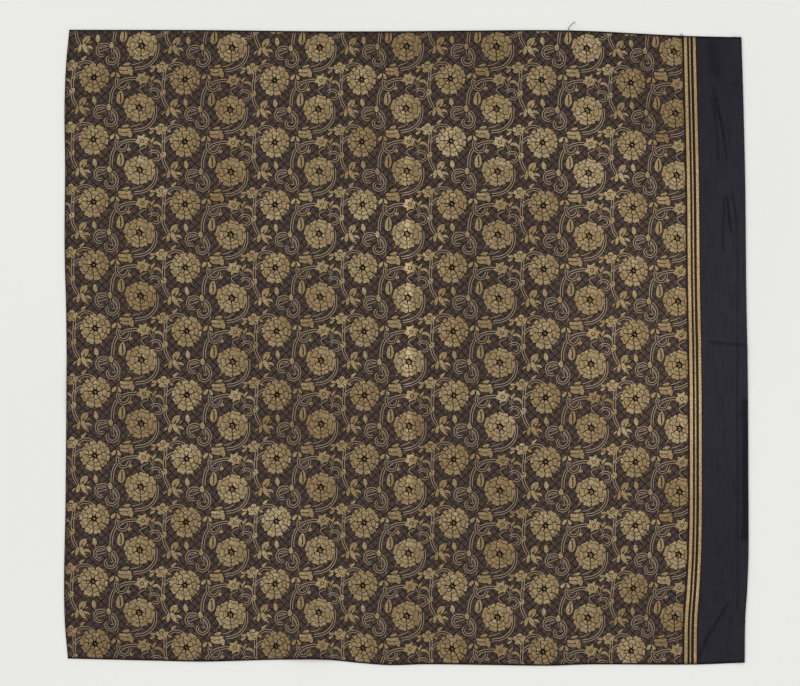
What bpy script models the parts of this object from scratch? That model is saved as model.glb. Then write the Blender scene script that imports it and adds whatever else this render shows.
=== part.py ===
"""Brocade panel, laid out flat.

One length of figured silk, woven in one: a flowered field, three bars across it
and a plain end whose last few millimetres are turned under.  X runs along the
length (the warp), Y across the loom width and Z is up.  The wrong side lies on
z = 0, apart from a few soft storage folds that stand a little off the surface.
The origin is under the middle of the panel.  Lengths are in metres, and the
tables are in millimetres.
"""
from collections import namedtuple
import math

import bmesh
import bpy
from mathutils import Vector

MM = 0.001

# ---- driving dimensions ----
LENGTH = 0.799
WIDTH = 0.743
CLOTH_THICK = 0.0012
PLAIN_END = 0.062
HEM_TURN = 0.006
HEM_CLIMB = 0.010
LAYER_GAP = 0.0006

# ---- how finely the cloth is divided ----
FIELD_STEP = 0.023
PLAIN_STEP = 0.008
ROW_STEP = 0.024
CLIMB_STEPS = 3
TURN_STEPS = 4
CREASE_STEPS = (-1.0, -0.5, 0.0, 0.5, 1.0)
CREASE_HALF_WIDE = 0.015
MIDDLE_CREASE_AT = 0.504
CROSS_CREASE_AT = 0.512

# ---- the uneven outline ----
# share: place along the side, from its left or lower end (0) to the other (1)
# inset_mm: how far the cloth's edge lies inside the straight side there
EdgeRow = namedtuple("EdgeRow", "share inset_mm")

LEFT_EDGE = [
    EdgeRow(0.00, 4.5),
    EdgeRow(0.06, 0.8),
    EdgeRow(0.13, 0.0),
    EdgeRow(0.24, 1.6),
    EdgeRow(0.36, 2.4),
    EdgeRow(0.45, 3.0),
    EdgeRow(0.55, 2.4),
    EdgeRow(0.65, 0.6),
    EdgeRow(0.78, 1.1),
    EdgeRow(0.87, 0.5),
    EdgeRow(0.94, 2.2),
    EdgeRow(1.00, 6.2),
]
RIGHT_EDGE = [
    EdgeRow(0.00, 5.0),
    EdgeRow(0.07, 4.3),
    EdgeRow(0.12, 2.0),
    EdgeRow(0.18, 0.5),
    EdgeRow(0.30, 0.7),
    EdgeRow(0.45, 1.3),
    EdgeRow(0.60, 3.2),
    EdgeRow(0.75, 4.2),
    EdgeRow(0.88, 6.2),
    EdgeRow(1.00, 8.8),
]
LOWER_EDGE = [
    EdgeRow(0.00, 8.5),
    EdgeRow(0.13, 6.0),
    EdgeRow(0.20, 4.9),
    EdgeRow(0.31, 7.1),
    EdgeRow(0.38, 7.2),
    EdgeRow(0.43, 3.4),
    EdgeRow(0.475, 0.8),
    EdgeRow(0.53, 1.8),
    EdgeRow(0.62, 1.0),
    EdgeRow(0.71, 0.1),
    EdgeRow(0.77, 1.6),
    EdgeRow(0.93, 1.5),
    EdgeRow(1.00, 3.9),
]
UPPER_EDGE = [
    EdgeRow(0.00, 1.0),
    EdgeRow(0.20, 1.4),
    EdgeRow(0.36, 2.7),
    EdgeRow(0.47, 2.8),
    EdgeRow(0.60, 1.9),
    EdgeRow(0.71, 1.4),
    EdgeRow(0.78, 2.6),
    EdgeRow(0.85, 5.5),
    EdgeRow(0.92, 8.2),
    EdgeRow(1.00, 9.7),
]

# ---- the folds that stand off the surface ----
# each runs from (x0, y0) to (x1, y1), measured from the middle of the panel
Fold = namedtuple("Fold", "name x0_mm y0_mm x1_mm y1_mm high_mm half_wide_mm")

FOLDS = [
    Fold("middle_crease_upper", 2, 300, 4, 60, 1.3, 16),
    Fold("middle_crease_lower", 4, 60, 1, -250, 1.6, 16),
    Fold("cross_crease_field", -380, 10, 345, 7, 0.8, 14),
    Fold("cross_crease_end", 345, 7, 392, -3, 1.3, 12),
    Fold("lower_ripple", -112, -368, -96, -290, 2.0, 40),
    Fold("left_ripple", -395, -50, -330, -62, 1.5, 46),
    Fold("right_corner_crease", 378, -292, 344, -346, 1.4, 16),
    Fold("long_crease_high", 350, 306, 368, 252, 1.0, 14),
    Fold("long_crease_low", 370, 190, 376, 120, 0.9, 14),
]


def on_smooth_curve(rows, share):
    """Inset in metres at one place of an edge table, on a smooth curve through its rows."""
    last = len(rows) - 1
    start = max(i for i in range(last) if rows[i].share <= share or i == 0)

    def slope(i):
        before, after = rows[max(i - 1, 0)], rows[min(i + 1, last)]
        return (after.inset_mm - before.inset_mm) / (after.share - before.share)

    here, there = rows[start], rows[start + 1]
    span = there.share - here.share
    t = (share - here.share) / span
    blend = t * t * (3 - 2 * t)
    inset = here.inset_mm + (there.inset_mm - here.inset_mm) * blend
    inset += span * slope(start) * t * (1 - t) ** 2
    inset -= span * slope(start + 1) * t * t * (1 - t)
    return inset * MM


def in_plan(u, v):
    """Place on the surface of the cloth's point at share u of its length and v of its width."""
    left = -LENGTH / 2 + on_smooth_curve(LEFT_EDGE, v)
    right = LENGTH / 2 - on_smooth_curve(RIGHT_EDGE, v)
    lower = -WIDTH / 2 + on_smooth_curve(LOWER_EDGE, u)
    upper = WIDTH / 2 - on_smooth_curve(UPPER_EDGE, u)
    return Vector((left + (right - left) * u, lower + (upper - lower) * v))


def fold_height(place):
    """How far the folds lift the cloth's wrong side off the surface at a place in plan."""
    height = 0.0
    for fold in FOLDS:
        start = Vector((fold.x0_mm, fold.y0_mm)) * MM
        along = Vector((fold.x1_mm, fold.y1_mm)) * MM - start
        share = min(max((place - start).dot(along) / along.length_squared, 0.0), 1.0)
        away = (place - start - along * share).length / (fold.half_wide_mm * MM)
        if away < 1.0:
            height = max(height, fold.high_mm * MM * (1 - away * away) ** 2)
    return height


def steps_between(start, end, step):
    """Even steps from start to end, each close to the given length, without the end."""
    count = max(round((end - start) / step), 1)
    return [start + (end - start) * i / count for i in range(count)]


def with_crease(stations, middle, total):
    """Shares of a total length, with closer ones over the storage crease at its middle."""
    kept = [s for s in stations if abs(s - middle) > 1.4 * CREASE_HALF_WIDE]
    closer = [middle + CREASE_HALF_WIDE * share for share in CREASE_STEPS]
    return [s / total for s in sorted(kept + closer)]


def length_stations():
    """Pairs (u, layer height) along the cloth: field, plain end, climb, turn and back layer."""
    radius = LAYER_GAP / 2
    climb_start = LENGTH - HEM_TURN - HEM_CLIMB
    field = steps_between(0.0, LENGTH - PLAIN_END, FIELD_STEP)
    plain = steps_between(LENGTH - PLAIN_END, climb_start, PLAIN_STEP)
    flat = with_crease(field + plain, LENGTH * MIDDLE_CREASE_AT, LENGTH)
    stations = [(u, 0.0) for u in flat]
    for i in range(CLIMB_STEPS + 1):
        t = i / CLIMB_STEPS
        height = (CLOTH_THICK + LAYER_GAP) * t * t * (3 - 2 * t)
        stations.append(((climb_start + HEM_CLIMB * t) / LENGTH, height))
    for i in range(TURN_STEPS + 1):
        bend = math.pi * i / TURN_STEPS
        reach = LENGTH - CLOTH_THICK - radius + radius * math.sin(bend)
        stations.append((reach / LENGTH, CLOTH_THICK + radius + radius * math.cos(bend)))
    stations.append(((LENGTH - HEM_TURN) / LENGTH, CLOTH_THICK))
    return stations


def width_stations():
    """Shares v across the cloth, with the rows over the cross crease put in by hand."""
    rows = steps_between(0.0, WIDTH, ROW_STEP) + [WIDTH]
    return with_crease(rows, WIDTH * CROSS_CREASE_AT, WIDTH)


def build_cloth(collection):
    """The panel: a grid laid on the wrong side of the cloth, then given its thickness."""
    along, across = length_stations(), width_stations()
    columns, rows = len(along) - 1, len(across) - 1
    bm = bmesh.new()
    bmesh.ops.create_grid(bm, x_segments=columns, y_segments=rows, size=0.5)
    for vert in bm.verts:
        u, layer_height = along[round((vert.co.x + 0.5) * columns)]
        place = in_plan(u, across[round((vert.co.y + 0.5) * rows)])
        vert.co = (place.x, place.y, layer_height + fold_height(place))
    mesh = bpy.data.meshes.new("brocade_panel")
    bm.to_mesh(mesh)
    bm.free()
    cloth = bpy.data.objects.new("brocade_panel", mesh)
    collection.objects.link(cloth)
    thicken = cloth.modifiers.new("cloth thickness", "SOLIDIFY")
    thicken.thickness = CLOTH_THICK
    thicken.offset = 1.0
    thicken.use_even_offset = True
    return cloth


def rest_on_origin(cloth):
    """Move the cloth so that the middle of its box stands over the origin, its lowest face at 0."""
    shape = cloth.evaluated_get(bpy.context.evaluated_depsgraph_get()).to_mesh()
    lows = [min(vert.co[axis] for vert in shape.vertices) for axis in range(3)]
    highs = [max(vert.co[axis] for vert in shape.vertices) for axis in range(3)]
    middle = Vector(((lows[0] + highs[0]) / 2, (lows[1] + highs[1]) / 2, lows[2]))
    for vert in cloth.data.vertices:
        vert.co -= middle


def silk_material():
    """Dark silk ground, as the plain end shows it."""
    material = bpy.data.materials.new("figured silk")
    material.use_nodes = True
    shader = material.node_tree.nodes["Principled BSDF"]
    shader.inputs["Base Color"].default_value = (0.065, 0.052, 0.048, 1.0)
    shader.inputs["Roughness"].default_value = 0.6
    shader.inputs["Metallic"].default_value = 0.0
    return material


def main():
    for obj in list(bpy.data.objects):
        bpy.data.objects.remove(obj, do_unlink=True)
    collection = bpy.data.collections.new("Brocade panel")
    bpy.context.scene.collection.children.link(collection)
    cloth = build_cloth(collection)
    cloth.data.materials.append(silk_material())
    bpy.context.view_layer.update()
    rest_on_origin(cloth)


main()
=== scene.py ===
"""Brocade panel: the looks of a length of figured silk, laid flat.

The cloth is a thin sheet on the folds of its solid.  Its pattern is worked out here
as one repeat of a flowering vine, repeated over the field, trimmed at the field's edges
and laid on the cloth, thread by thread a little proud of the dark satin.
"""

from collections import namedtuple
import math

import bmesh
import bpy
import numpy as np
from bpy.props import FloatProperty, FloatVectorProperty, IntProperty, PointerProperty
from bpy.types import Operator, Panel, PropertyGroup
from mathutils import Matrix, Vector


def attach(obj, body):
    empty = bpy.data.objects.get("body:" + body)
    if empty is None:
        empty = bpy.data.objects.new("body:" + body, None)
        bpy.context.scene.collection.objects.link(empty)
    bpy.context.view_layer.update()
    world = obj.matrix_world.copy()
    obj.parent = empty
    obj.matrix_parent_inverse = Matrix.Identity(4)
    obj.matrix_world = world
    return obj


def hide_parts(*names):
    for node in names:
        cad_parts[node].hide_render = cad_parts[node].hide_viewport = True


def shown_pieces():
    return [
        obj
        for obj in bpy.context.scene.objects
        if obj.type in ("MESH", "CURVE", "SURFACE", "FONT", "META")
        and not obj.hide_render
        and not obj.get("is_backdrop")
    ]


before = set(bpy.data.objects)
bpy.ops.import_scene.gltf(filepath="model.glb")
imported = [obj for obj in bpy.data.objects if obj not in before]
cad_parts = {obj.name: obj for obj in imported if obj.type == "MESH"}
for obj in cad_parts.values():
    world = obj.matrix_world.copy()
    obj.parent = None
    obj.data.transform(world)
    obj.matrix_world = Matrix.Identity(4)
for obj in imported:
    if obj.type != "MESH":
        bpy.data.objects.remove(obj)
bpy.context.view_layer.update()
NODE = "brocade_panel"
BODY = "root"

bl_info = {
    "name": "Brocade panel",
    "version": (1, 0, 0),
    "blender": (4, 5, 0),
    "location": "3D View > Sidebar > Brocade",
    "description": "Makes a flat length of dark silk figured with a gold flowering vine",
    "category": "Object",
}

MM = 0.001

# ---------------------------------------------------------------- the cloth's own shape

LENGTH = 0.799
WIDTH = 0.743
HEM_TURN = 0.006
HEM_CLIMB = 0.009

EdgeRow = namedtuple("EdgeRow", "share inset_mm")
Fold = namedtuple("Fold", "name x0_mm y0_mm x1_mm y1_mm high_mm half_wide_mm")
DriftRow = namedtuple("DriftRow", "share up_mm")

LEFT_EDGE = [
    EdgeRow(0.00, 4.5), EdgeRow(0.06, 0.8), EdgeRow(0.13, 0.0), EdgeRow(0.24, 1.6),
    EdgeRow(0.36, 2.4), EdgeRow(0.45, 3.0), EdgeRow(0.55, 2.4), EdgeRow(0.65, 0.6),
    EdgeRow(0.78, 1.1), EdgeRow(0.87, 0.5), EdgeRow(0.94, 2.2), EdgeRow(1.00, 6.2),
]
RIGHT_EDGE = [
    EdgeRow(0.00, 5.0), EdgeRow(0.07, 4.3), EdgeRow(0.12, 2.0), EdgeRow(0.18, 0.5),
    EdgeRow(0.30, 0.7), EdgeRow(0.45, 1.3), EdgeRow(0.60, 3.2), EdgeRow(0.75, 4.2),
    EdgeRow(0.88, 6.2), EdgeRow(1.00, 8.8),
]
LOWER_EDGE = [
    EdgeRow(0.00, 8.5), EdgeRow(0.13, 6.0), EdgeRow(0.20, 4.9), EdgeRow(0.31, 7.1),
    EdgeRow(0.38, 7.2), EdgeRow(0.43, 3.4), EdgeRow(0.475, 0.8), EdgeRow(0.53, 1.8),
    EdgeRow(0.62, 1.0), EdgeRow(0.71, 0.1), EdgeRow(0.77, 1.6), EdgeRow(0.93, 1.5),
    EdgeRow(1.00, 3.9),
]
UPPER_EDGE = [
    EdgeRow(0.00, 1.0), EdgeRow(0.20, 1.4), EdgeRow(0.36, 2.7), EdgeRow(0.47, 2.8),
    EdgeRow(0.60, 1.9), EdgeRow(0.71, 1.4), EdgeRow(0.78, 2.6), EdgeRow(0.85, 5.5),
    EdgeRow(0.92, 8.2), EdgeRow(1.00, 9.7),
]

# The repeats aren't on an even grid: they swell across the cloth, and wander in slow
# waves along it.
SWELL_MM = 1.2
SWAY_MM = 1.6
WANDER_WAVE = 0.41
WANDER_ALONG_MM = 1.7
WANDER_UP_MM = 1.4
WANDER_MIDDLE_MM = 2.0

# folds of the solid, then finer creases of the plain end that only the looks have
FOLDS = [
    Fold("middle_crease_upper", 2, 300, 4, 60, 1.3, 16),
    Fold("middle_crease_lower", 4, 60, 1, -250, 1.6, 16),
    Fold("cross_crease_field", -380, 10, 345, 7, 0.8, 14),
    Fold("cross_crease_end", 345, 7, 392, -3, 1.3, 12),
    Fold("lower_ripple", -112, -368, -96, -290, 2.0, 40),
    Fold("left_ripple", -395, -50, -330, -62, 1.5, 46),
    Fold("right_corner_crease", 378, -292, 344, -346, 1.2, 9),
    Fold("long_crease_high", 350, 306, 362, 276, 0.7, 6),
    Fold("long_crease_high_end", 362, 276, 369, 252, 0.7, 6),
    Fold("long_crease_beside", 357, 302, 365, 280, 0.5, 4),
    Fold("upright_crease_a", 364, 242, 365, 219, 0.5, 5),
    Fold("upright_crease_b", 372, 244, 373, 218, 0.5, 5),
    Fold("upright_crease_c", 368, 190, 369, 128, 0.6, 6),
    Fold("upright_crease_d", 381, 188, 379, 124, 0.6, 6),
]

# ---------------------------------------------------------------- the repeat, drawn in mm
# The origin of the repeat is the middle of its peony.  x runs along the cloth and y
# across it.  Turns and headings are in degrees from +x.  Petals, blossoms and buds are
# worked out from a few sizes each, and a vine is a list of arcs.

Ring = namedtuple("Ring", "petals inner outer turn notch base")
Bloom = namedtuple("Bloom", "name x y heart rings stamens")
Lobed = namedtuple("Lobed", "x y radius lobes depth turn pointed")
Oval = namedtuple("Oval", "x y heading long wide base")
Blade = namedtuple("Blade", "x y heading length bend width skew")
Scroll = namedtuple("Scroll", "x y heading runs")

REPEAT_LONG = 0.1050
REPEAT_WIDE = 0.0741
FIRST_LONG = 0.0864
FIRST_WIDE = 0.0546
PETAL_POINTS = 14

# Each ring of petals lies over the one outside it.  A scroll's runs are (length, turn).
PEONY = Bloom("peony", 0, 0, 3.0, [
    Ring(8, 9.0, 18.4, 10, -0.9, 0.00), Ring(6, 5.0, 14.0, 32, -0.9, 0.34), Ring(6, 3.0, 8.8, 5, -0.5, 0.68),
], [Scroll(-2, 1, 20, [(4, -90), (3, -140), (2, -120)])])
CHRYSANTHEMUM = Bloom("chrysanthemum", -53, 35, 2.4, [
    Ring(11, 8.0, 18.0, 4, -0.7, 0.00), Ring(9, 5.0, 13.6, 20, -0.5, 0.34), Ring(7, 2.6, 9.0, 12, 0.3, 0.68),
], [Scroll(-54, 35, 60, [(2, -110), (2, -130)])])

BLOSSOMS = [
    Lobed(25, -25, 7.8, 5, 0.22, 18, False),
    Lobed(3, 35, 9.0, 6, 0.30, 12, True),
    Lobed(27, 19, 4.2, 5, 0.24, 40, False),
]
BLOSSOM_VEINS = [
    Scroll(27, -23, 120, [(5, 110), (5, 150), (3, 120)]), Scroll(26, -27, -60, [(4, 30)]),
    Scroll(22, -22, 150, [(3, -20)]), Scroll(28, -22, 40, [(3, 10)]),
    Scroll(21, -27, -150, [(3, 10)]), Scroll(5, 34, 70, [(4, 120), (5, 140), (4, 130)]),
    Scroll(6, 38, 60, [(3, 20)]), Scroll(0, 31, -130, [(3, -10)]),
    Scroll(26, 18, 30, [(3, 130), (2, 90)]),
]

OVALS = [
    Oval(-16, -23, 25, 11, 5, 0.00), Oval(-18, -32, -12, 14, 6, 0.00),
    Oval(-11, -32, -75, 10, 7, 0.18), Oval(-17, -27, 4, 17, 6, 0.34),
    Oval(-22, 12, 84, 17, 9, 0.00), Oval(-52, 8, 100, 10, 6, 0.00), Oval(-31, 39, 50, 9, 5, 0.00),
    Oval(-26, 39, 128, 9, 5, 0.10), Oval(-12, 24, 20, 6, 5, 0.00), Oval(39, -16, 40, 9, 4, 0.00),
    Oval(-35, 0, 95, 9, 6, 0.00), Oval(15, 36, 55, 9, 4, 0.00), Oval(14, -29, 35, 8, 4, 0.00),
    Oval(15, -25, 5, 8, 4, 0.00), Oval(34, -27, -25, 6, 4, 0.00), Oval(-66, -4, -65, 13, 6, 0.00),
    Oval(-72, -4, 80, 12, 5, 0.10),
]
OVAL_VEINS = [
    Scroll(-22, 6, 74, [(6, 22), (6, 0)]), Scroll(-13, -26, 165, [(9, 24)]), Scroll(-28, 42, -88, [(5, 4)]),
]

# leaf-like strokes: the lily, the sprigs by the star, and the hooks round both blooms
BLADES = [
    Blade(-69, 1, 88, 14, -80, 6.0, 1.0), Blade(-66, 1, 50, 10, 20, 4.5, 1.0),
    Blade(-64, -2, 5, 9, -60, 4.5, 0.9), Blade(-74, -3, 210, 7, 30, 3.5, 1.2),
    Blade(-62, 1, 60, 6, -30, 3.0, 1.0), Blade(-63, -7, -75, 6, 45, 3.5, 0.9),
    Blade(15, 31, 48, 14, -150, 5.0, 0.7), Blade(10, 38, -55, 6, 15, 2.5, 0.9),
    Blade(-13, -9, -105, 5, 25, 2.4, 0.9), Blade(-13, -13, -120, 5, -25, 2.4, 0.9),
    Blade(10, 6, 42, 9, 10, 2.3, 0.9), Blade(13, 5, 42, 7, 10, 2.3, 0.9),
    Blade(10, -6, -64, 8, 15, 2.3, 0.9), Blade(-43, 44, 50, 7, -15, 2.4, 0.9),
    Blade(-41, 27, -45, 6, 15, 2.4, 0.9), Blade(-47, 19, -55, 6, -10, 2.5, 0.9),
    Blade(-57, 20, -110, 5, -20, 2.5, 0.9), Blade(-57, -20, -60, 7, 20, 2.4, 0.9),
]

DOUBLE_VINES = [
    Scroll(28, 46, -88, [(12, -10), (12, 14)]),
    Scroll(27, 16, -95, [(8, 30), (9, 8)]),
    Scroll(28, 33, 70, [(7, -35), (8, -30)]),
    Scroll(33, -24, 48, [(8, -40), (8, -35), (6, -30)]),
    Scroll(18, 3, -78, [(12, -22), (14, -38), (12, -30), (8, -8)]),
    Scroll(-22, 31, 28, [(10, -18), (9, -12)]),
    Scroll(-28, 26, -122, [(12, 22), (11, 14)]),
    Scroll(-60, -5, 184, [(7, -8)]),
    Scroll(-38, -1, 142, [(8, 50), (8, 62), (8, 66), (6, 80)]),
    Scroll(-32, -3, -28, [(9, -45), (8, -40), (8, -62), (7, -70), (6, -90)]),
    Scroll(-27, 34, -96, [(7, 22), (7, 66), (7, 60), (6, 40)]),
    Scroll(11, 20, 48, [(7, -50), (7, -66), (7, -80), (5, -90)]),
]
SINGLE_VINES = [
    Scroll(-10, -23, 8, [(13, 26)]), Scroll(10, -23, -20, [(6, -12)]),
    Scroll(-49, -8, 18, [(12, 6)]), Scroll(-49, -4, 10, [(9, 14)]), Scroll(-32, -5, -62, [(12, 4)]),
    Scroll(-32, -5, -92, [(11, 22)]), Scroll(-34, -15, -40, [(5, 90)]),
    Scroll(-35, -5, -88, [(6, 30)]), Scroll(-27, 34, 15, [(4, -80), (3, -90)]),
    Scroll(-25, 26, 40, [(9, -4)]), Scroll(9, 34, -70, [(8, 14), (9, -70)]),
    Scroll(13, 32, -85, [(7, 50)]), Scroll(8, 28, -150, [(7, -10), (5, 110), (6, 10)]),
    Scroll(-28, 37, -82, [(4, 10)]), Scroll(-52, 5, -90, [(5, 50)]),
    Scroll(-25, -21, -105, [(5, -5)]),
]

# A rim of dark satin rings every figure.  Across it a value goes from 1 outside to 0 where the
# gold begins, and below 0 in the middle of the fine lines, which keeps their gold broad.
RIM = 1.0
PETAL_RIM = 0.86
GROWN = 0.32
LINE_WIDE = 2.0
LINE_GOLD = -0.42
VEIN_WIDE = 1.15
VINE_APART = 1.40
VINE_REACH = 2.30
LINE_STEP = 1.9
FLOAT_RISE = 0.30
HEART_BASE = 0.90
SUNK = 0.05
VEIN_STEP = 1.3
STAMEN_STEP, STAMEN_WIDE, STAMEN_RISE = 1.2, 1.7, 0.3
SPRAY_VEIN_RISE = 0.34


# ---------------------------------------------------------------- drawing one repeat

class Drawing:
    """One repeat's vertices and faces in millimetres, face up, with two values per vertex:
    the shade of its petal, and 1 on the dark rim or 0 on the gold."""

    def __init__(self):
        self.places = []
        self.faces = []
        self.shades = []
        self.rims = []

    def add(self, places, rims, faces, shade):
        start = len(self.places)
        self.places += places
        self.rims += rims
        self.faces += [tuple(start + i for i in face) for face in faces]
        self.shades += [shade] * len(places)

    def float_over(self, outline, shade, base=0.0, dark=False, grown=0.0, rim=RIM):
        """A closed, gently domed float of thread over an outline, inside its dark rim."""
        count = len(outline)
        mid = sum(outline, Vector((0, 0))) / count
        outline = [p + (p - mid).normalized() * grown for p in outline]
        turn = sum(a.cross(b) for a, b in zip(outline, outline[1:] + outline[:1]))
        places = [(p.x, p.y, base - SUNK) for p in outline]
        for i, p in enumerate(outline):
            along = outline[(i + 1) % count] - outline[i - 1]
            inward = Vector((-along.y, along.x)).normalized() * math.copysign(1, turn)
            inward = (inward + (mid - p).normalized()).normalized()
            reach = min(rim, (mid - p).length * 0.6)
            places.append((p.x + inward.x * reach, p.y + inward.y * reach, base + FLOAT_RISE * 0.9))
        places.append((mid.x, mid.y, base + FLOAT_RISE))
        faces = [tuple(range(count - 1, -1, -1))]
        for i in range(count):
            after = (i + 1) % count
            faces.append((i, after, count + after, count + i))
            faces.append((count + i, count + after, 2 * count))
        rims = [1.0] * count + [1.0 if dark else 0.0] * (count + 1)
        self.add(places, rims, faces, shade)

    def strand(self, path, profiles, shade):
        """A closed raised strip along a path.  Each place on it has a profile of its own:
        rows of (distance to the side, height, rim)."""
        places, rims, faces = [], [], []
        sides = len(profiles[0])
        for i, place in enumerate(path):
            along = path[min(i + 1, len(path) - 1)] - path[max(i - 1, 0)]
            across = Vector((-along.y, along.x)).normalized()
            for away, height, rim in profiles[i]:
                places.append((place.x - across.x * away, place.y - across.y * away, height))
                rims.append(rim)
        for i in range(len(path) - 1):
            for k in range(sides):
                after = (k + 1) % sides
                here, there = i * sides, (i + 1) * sides
                faces.append((here + after, here + k, there + k, there + after))
        last = (len(path) - 1) * sides
        faces.append(tuple(range(sides)))
        faces.append(tuple(last + k for k in range(sides - 1, -1, -1)))
        self.add(places, rims, faces, shade)


def stroke_profile(width):
    """A broad gold stroke with a dark rim down both sides."""
    rim = min(RIM, width * 0.46)
    return [(-width / 2, -SUNK, 1.0), (rim - width / 2, FLOAT_RISE, 0.0),
            (width / 2 - rim, FLOAT_RISE, 0.0), (width / 2, -SUNK, 1.0)]


def line_profile(width, base=0.0, dark=False):
    """A fine line, gold between two dark sides, or all dark for a vein."""
    middle = (0.0, base + 0.10, 1.0) if dark else (0.0, base + 0.24, LINE_GOLD)
    return [(-width / 2, base - SUNK, 1.0), middle, (width / 2, base - SUNK, 1.0)]


def double_profile():
    """Two fine gold lines side by side with dark satin between and beside them."""
    return [(-VINE_REACH, -SUNK, 1.0), (-VINE_APART, 0.24, LINE_GOLD), (0.0, 0.08, 1.0),
            (VINE_APART, 0.24, LINE_GOLD), (VINE_REACH, -SUNK, 1.0)]


def smooth_path(points, step):
    """Places a step apart on a smooth curve through a thread's few points."""
    points = [Vector(p) for p in points]
    ends = points[:1] + points + points[-1:]
    fine = []
    for p0, p1, p2, p3 in zip(ends, ends[1:], ends[2:], ends[3:]):
        for k in range(12):
            t = k / 12
            fine.append(0.5 * (2 * p1 + (p2 - p0) * t + (2 * p0 - 5 * p1 + 4 * p2 - p3) * t * t
                               + (3 * p1 - p0 - 3 * p2 + p3) * t ** 3))
    fine.append(points[-1])
    lengths = [0.0]
    for before, after in zip(fine, fine[1:]):
        lengths.append(lengths[-1] + (after - before).length)
    count = max(round(lengths[-1] / step), 2)
    places = []
    for i in range(count + 1):
        at = lengths[-1] * i / count
        k = max(j for j in range(len(fine) - 1) if lengths[j] <= at + 1e-9)
        share = (at - lengths[k]) / max(lengths[k + 1] - lengths[k], 1e-9)
        places.append(fine[k].lerp(fine[k + 1], min(share, 1.0)))
    return places


def scroll_path(scroll, step):
    """Places a step apart along a line that bends evenly within each of its runs."""
    place, heading = Vector((scroll.x, scroll.y)), math.radians(scroll.heading)
    path = [place.copy()]
    for length, turn in scroll.runs:
        steps = max(round(length / step), 1)
        for _ in range(steps):
            heading += math.radians(turn) / steps / 2
            place += Vector((math.cos(heading), math.sin(heading))) * length / steps
            heading += math.radians(turn) / steps / 2
            path.append(place.copy())
    return path


def fan_petal(bloom, ring, degrees, starts, outer, scallops):
    """Outline of one petal: a rounded piece of a ring, its outer edge scalloped."""
    half_angle = math.radians(degrees / 2)
    heading = math.radians(starts) + half_angle
    middle, half = (outer + ring.inner) / 2, (outer - ring.inner) / 2
    outline = []
    for k in range(PETAL_POINTS):
        a = 2 * math.pi * (k + 0.5) / PETAL_POINTS
        across = math.copysign(abs(math.cos(a)) ** 0.70, math.cos(a))
        away = math.copysign(abs(math.sin(a)) ** 0.72, math.sin(a))
        radius = middle + half * away
        if away > 0:
            radius += ring.notch * math.cos(math.pi * scallops * across) * away
        angle = heading + across * half_angle * (1.06 if away > -0.5 else 0.96)
        outline.append(Vector((bloom.x + radius * math.cos(angle), bloom.y + radius * math.sin(angle))))
    return outline


def draw_bloom(drawing, bloom, rng):
    """A bloom's rings of petals, each uneven in its own way, then its dark heart and stamens."""
    for ring in bloom.rings:
        shares = rng.uniform(0.7, 1.3, ring.petals)
        starts = ring.turn
        for degrees in 360 * shares / shares.sum():
            outer = ring.outer * rng.uniform(0.93, 1.08)
            scallops = 2 if degrees > 420 / ring.petals else rng.choice((1.0, 1.4, 2.0))
            outline = fan_petal(bloom, ring, degrees, starts, outer, scallops)
            drawing.float_over(outline, rng.uniform(0, 1), ring.base, rim=PETAL_RIM)
            starts += degrees
    heart = Oval(bloom.x, bloom.y, 80, 2.2 * bloom.heart, 1.9 * bloom.heart, 0)
    drawing.float_over(oval_outline(heart), 0.5, HEART_BASE, dark=True)
    for line in bloom.stamens:
        path = scroll_path(line, STAMEN_STEP)
        profile = line_profile(STAMEN_WIDE, HEART_BASE + STAMEN_RISE)
        drawing.strand(path, [profile] * len(path), rng.uniform(0, 1))


def oval_outline(oval):
    """An egg's outline, blunter at its foot."""
    turn = math.radians(oval.heading)
    ahead, aside = Vector((math.cos(turn), math.sin(turn))), Vector((-math.sin(turn), math.cos(turn)))
    count = max(round((oval.long + oval.wide) * 0.75), 8)
    outline = []
    for k in range(count):
        a = 2 * math.pi * k / count
        wide = oval.wide / 2 * math.sin(a) * (1 - 0.22 * math.cos(a))
        outline.append(Vector((oval.x, oval.y)) + ahead * (oval.long / 2 * math.cos(a)) + aside * wide)
    return outline


def lobed_outline(lobed):
    """A small blossom's outline: round lobes with sharp notches, or pointed ones."""
    outline = []
    count = lobed.lobes * 4
    for k in range(count):
        a = 2 * math.pi * k / count
        wave = abs(math.cos(lobed.lobes * a / 2))
        if lobed.pointed:
            wave = 1 - abs(math.sin(lobed.lobes * a / 2))
        radius = lobed.radius * (1 - lobed.depth + lobed.depth * wave) * (1 + 0.06 * math.sin(2 * a + 1))
        angle = a + math.radians(lobed.turn)
        outline.append(Vector((lobed.x + radius * math.cos(angle), lobed.y + radius * math.sin(angle))))
    return outline


def draw_veins(drawing, lines, base):
    """Fine dark lines on top of the gold."""
    for line in lines:
        path = scroll_path(line, VEIN_STEP)
        drawing.strand(path, [line_profile(VEIN_WIDE, base, dark=True)] * len(path), 0.5)


def draw_blossoms(drawing, rng):
    """The small rosettes, stars and knots."""
    for lobed in BLOSSOMS:
        drawing.float_over(lobed_outline(lobed), rng.uniform(0, 1), grown=GROWN)
    draw_veins(drawing, BLOSSOM_VEINS, FLOAT_RISE)


def draw_sprays(drawing, rng):
    """Buds, leaves, lilies and hooks."""
    for oval in OVALS:
        drawing.float_over(oval_outline(oval), rng.uniform(0, 1), oval.base, grown=GROWN)
    draw_veins(drawing, OVAL_VEINS, FLOAT_RISE + SPRAY_VEIN_RISE)
    for blade in BLADES:
        path, widths = blade_path(blade, 7 if blade.length > 8.5 else 5)
        drawing.strand(path, [stroke_profile(width) for width in widths], rng.uniform(0, 1))


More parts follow.
